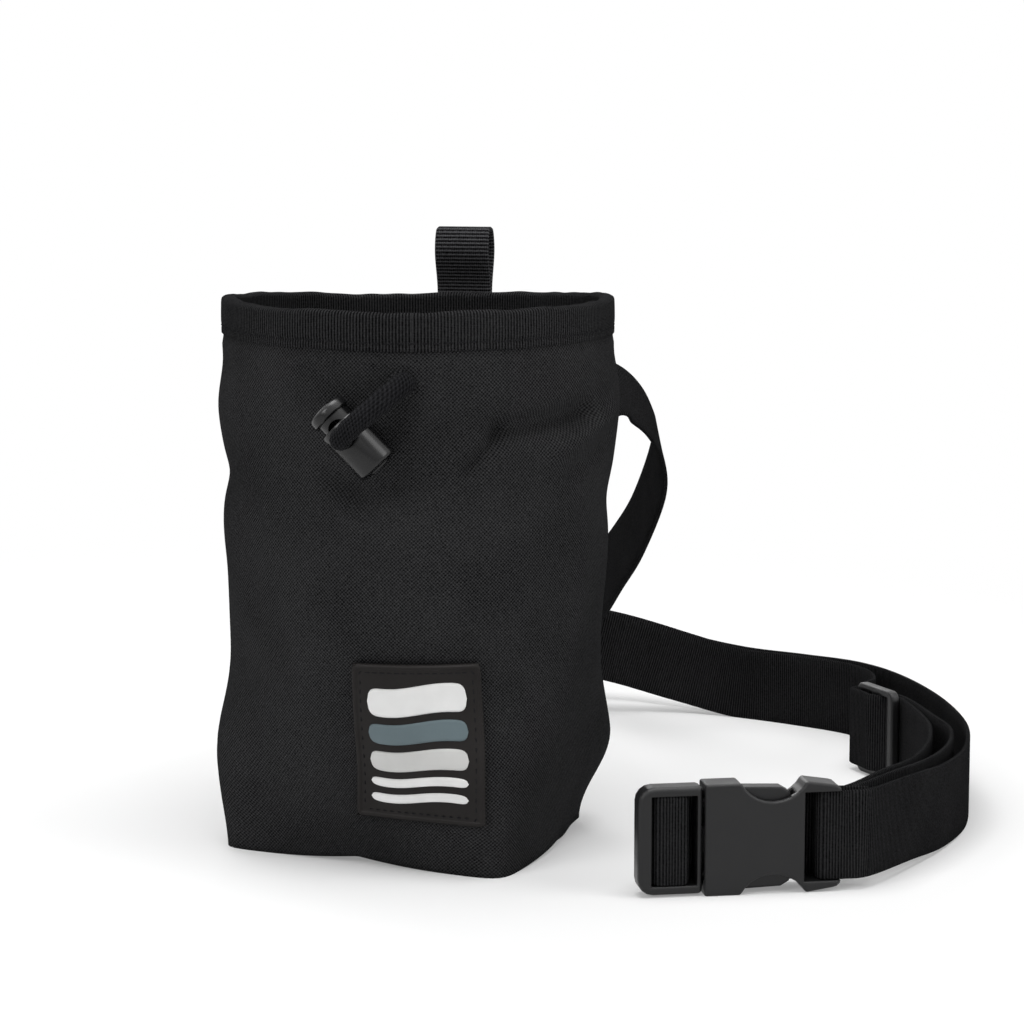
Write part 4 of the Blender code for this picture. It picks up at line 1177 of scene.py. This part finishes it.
# The stations are written upright, and the whole strap is then turned over
upright = through_tunnel((-0.2, -6, -12, -18, -24))
upright += [at(46, 40, 132, (-0.3, 0.34, 0.9)), at(56.5, 45.2, 133.8, (-0.47, 0.64, 0.61)),
            at(63, 52, 131.8, (-0.28, 0.66, 0.7)), at(69.8, 60, 126.2, (-0.2, 0.7, 0.69)),
            at(75.2, 70, 116.8, (-0.17, 0.69, 0.71)), at(77.2, 86, 103.4, (-0.1, 0.6, 0.79)),
            at(72, 118, 80, (-0.05, 0.56, 0.83)), at(66, 142, 64.5, (-0.04, 0.52, 0.85)),
            at(59.5, 165, 50.5, (-0.12, 0.46, 0.88)), at(51.8, 183, 40, (-0.15, 0.3, 0.94)),
            at(43, 192.5, 34.5, (-0.1, 0.12, 0.99)), at(36.5, 192, 31.5), at(38, 184.5, 30), at(51, 181, 28),
            at(70, 182, 23.5), at(92, 181, 17), at(112, 173), at(132, 159), at(148, 144.5), at(154, 130),
            at(153, 112, 13.6)]
upright += [on(SLIDER_POSE, -SLIDER_END - 0.006, over + 0.0006), on(SLIDER_POSE, 0, over),
            on(SLIDER_POSE, SLIDER_END, over)]
upright += [at(164.5, 48, 14.5), at(167.5, 29, 14.2), at(163.5, 5, 14.4), at(154, -19, 15),
            at(140.5, -41, 16)]
upright += [on(BUCKLE_POSE, x, y, drop) for x, y, drop in (
    (0.042, back, low), (0.024, back, low), (0.004, back, low / 2),
    (near + 0.0032, back - 0.0012, low / 6), (near + 0.0018, 0.0006, 0), (near + 0.0007, face + 0.0004, 0),
    (plug_bar, face, 0), (far - 0.0007, face + 0.0004, 0), (far - 0.0018, 0.0006, 0),
    (far - 0.0010, back - 0.0004, 0), (plug_bar + 0.0005, back + LAYER, low),
    (0.004, back + LAYER, low), (0.024, back + LAYER, low), (0.042, back + LAYER, low))]
upright += [at(138, -38.5, 16), at(149, -19, 15), at(157, 5, 14.6), at(161, 28, 14.8), at(160.5, 46, 15.2)]
upright += [on(SLIDER_POSE, x, y) for x, y in (
    (SLIDER_END + 0.0005, side), (1.95 * slot, side + GAP), (slot, 0), (0.05 * slot, -side - GAP),
    (-slot, -side), (-SLIDER_END + 0.0006, -side), (-SLIDER_END - 0.6 * side, -0.8 * side),
    (-SLIDER_END - 0.9 * side, 0), (-SLIDER_END - 0.6 * side, 0.8 * side),
    (-SLIDER_END + 0.0006, side), (-slot, side))]
adjuster = [(place, -across) for place, across in upright]
tail = band("webbing_adjuster_side", adjuster, BELT_WIDTH, webbing)
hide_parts("belt_adjuster_side")

STITCH_PITCH = 0.00195
outward = BUCKLE_POSE.to_3x3() @ Vector((-0.12, -1, 0)).normalized()
for column, reach in enumerate((0.0098, 0.0116)):
    points = [BUCKLE_POSE @ Vector((bar + reach, -0.0023, STITCH_PITCH * (k - 6))) for k in range(-1, 14)]
    seam(f"belt_stitches_{column}", points, [outward] * len(points), 0.0017)
print("belt made")

# %% [markdown]
# The buckle and the slider keep their CAD shape, which is already right, and take the satin acetal. The hoop
# inside the rim isn't seen, and takes the plastic of the lock.

# %% Finishes for the hard pieces
for node in ("buckle_socket", "buckle_plug", "prong_upper", "prong_lower", "belt_slider", "rim_hoop"):
    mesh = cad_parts[node].data
    mesh.materials.clear()
    mesh.materials.append(lock_plastic if node == "rim_hoop" else acetal)
print("hard pieces finished")
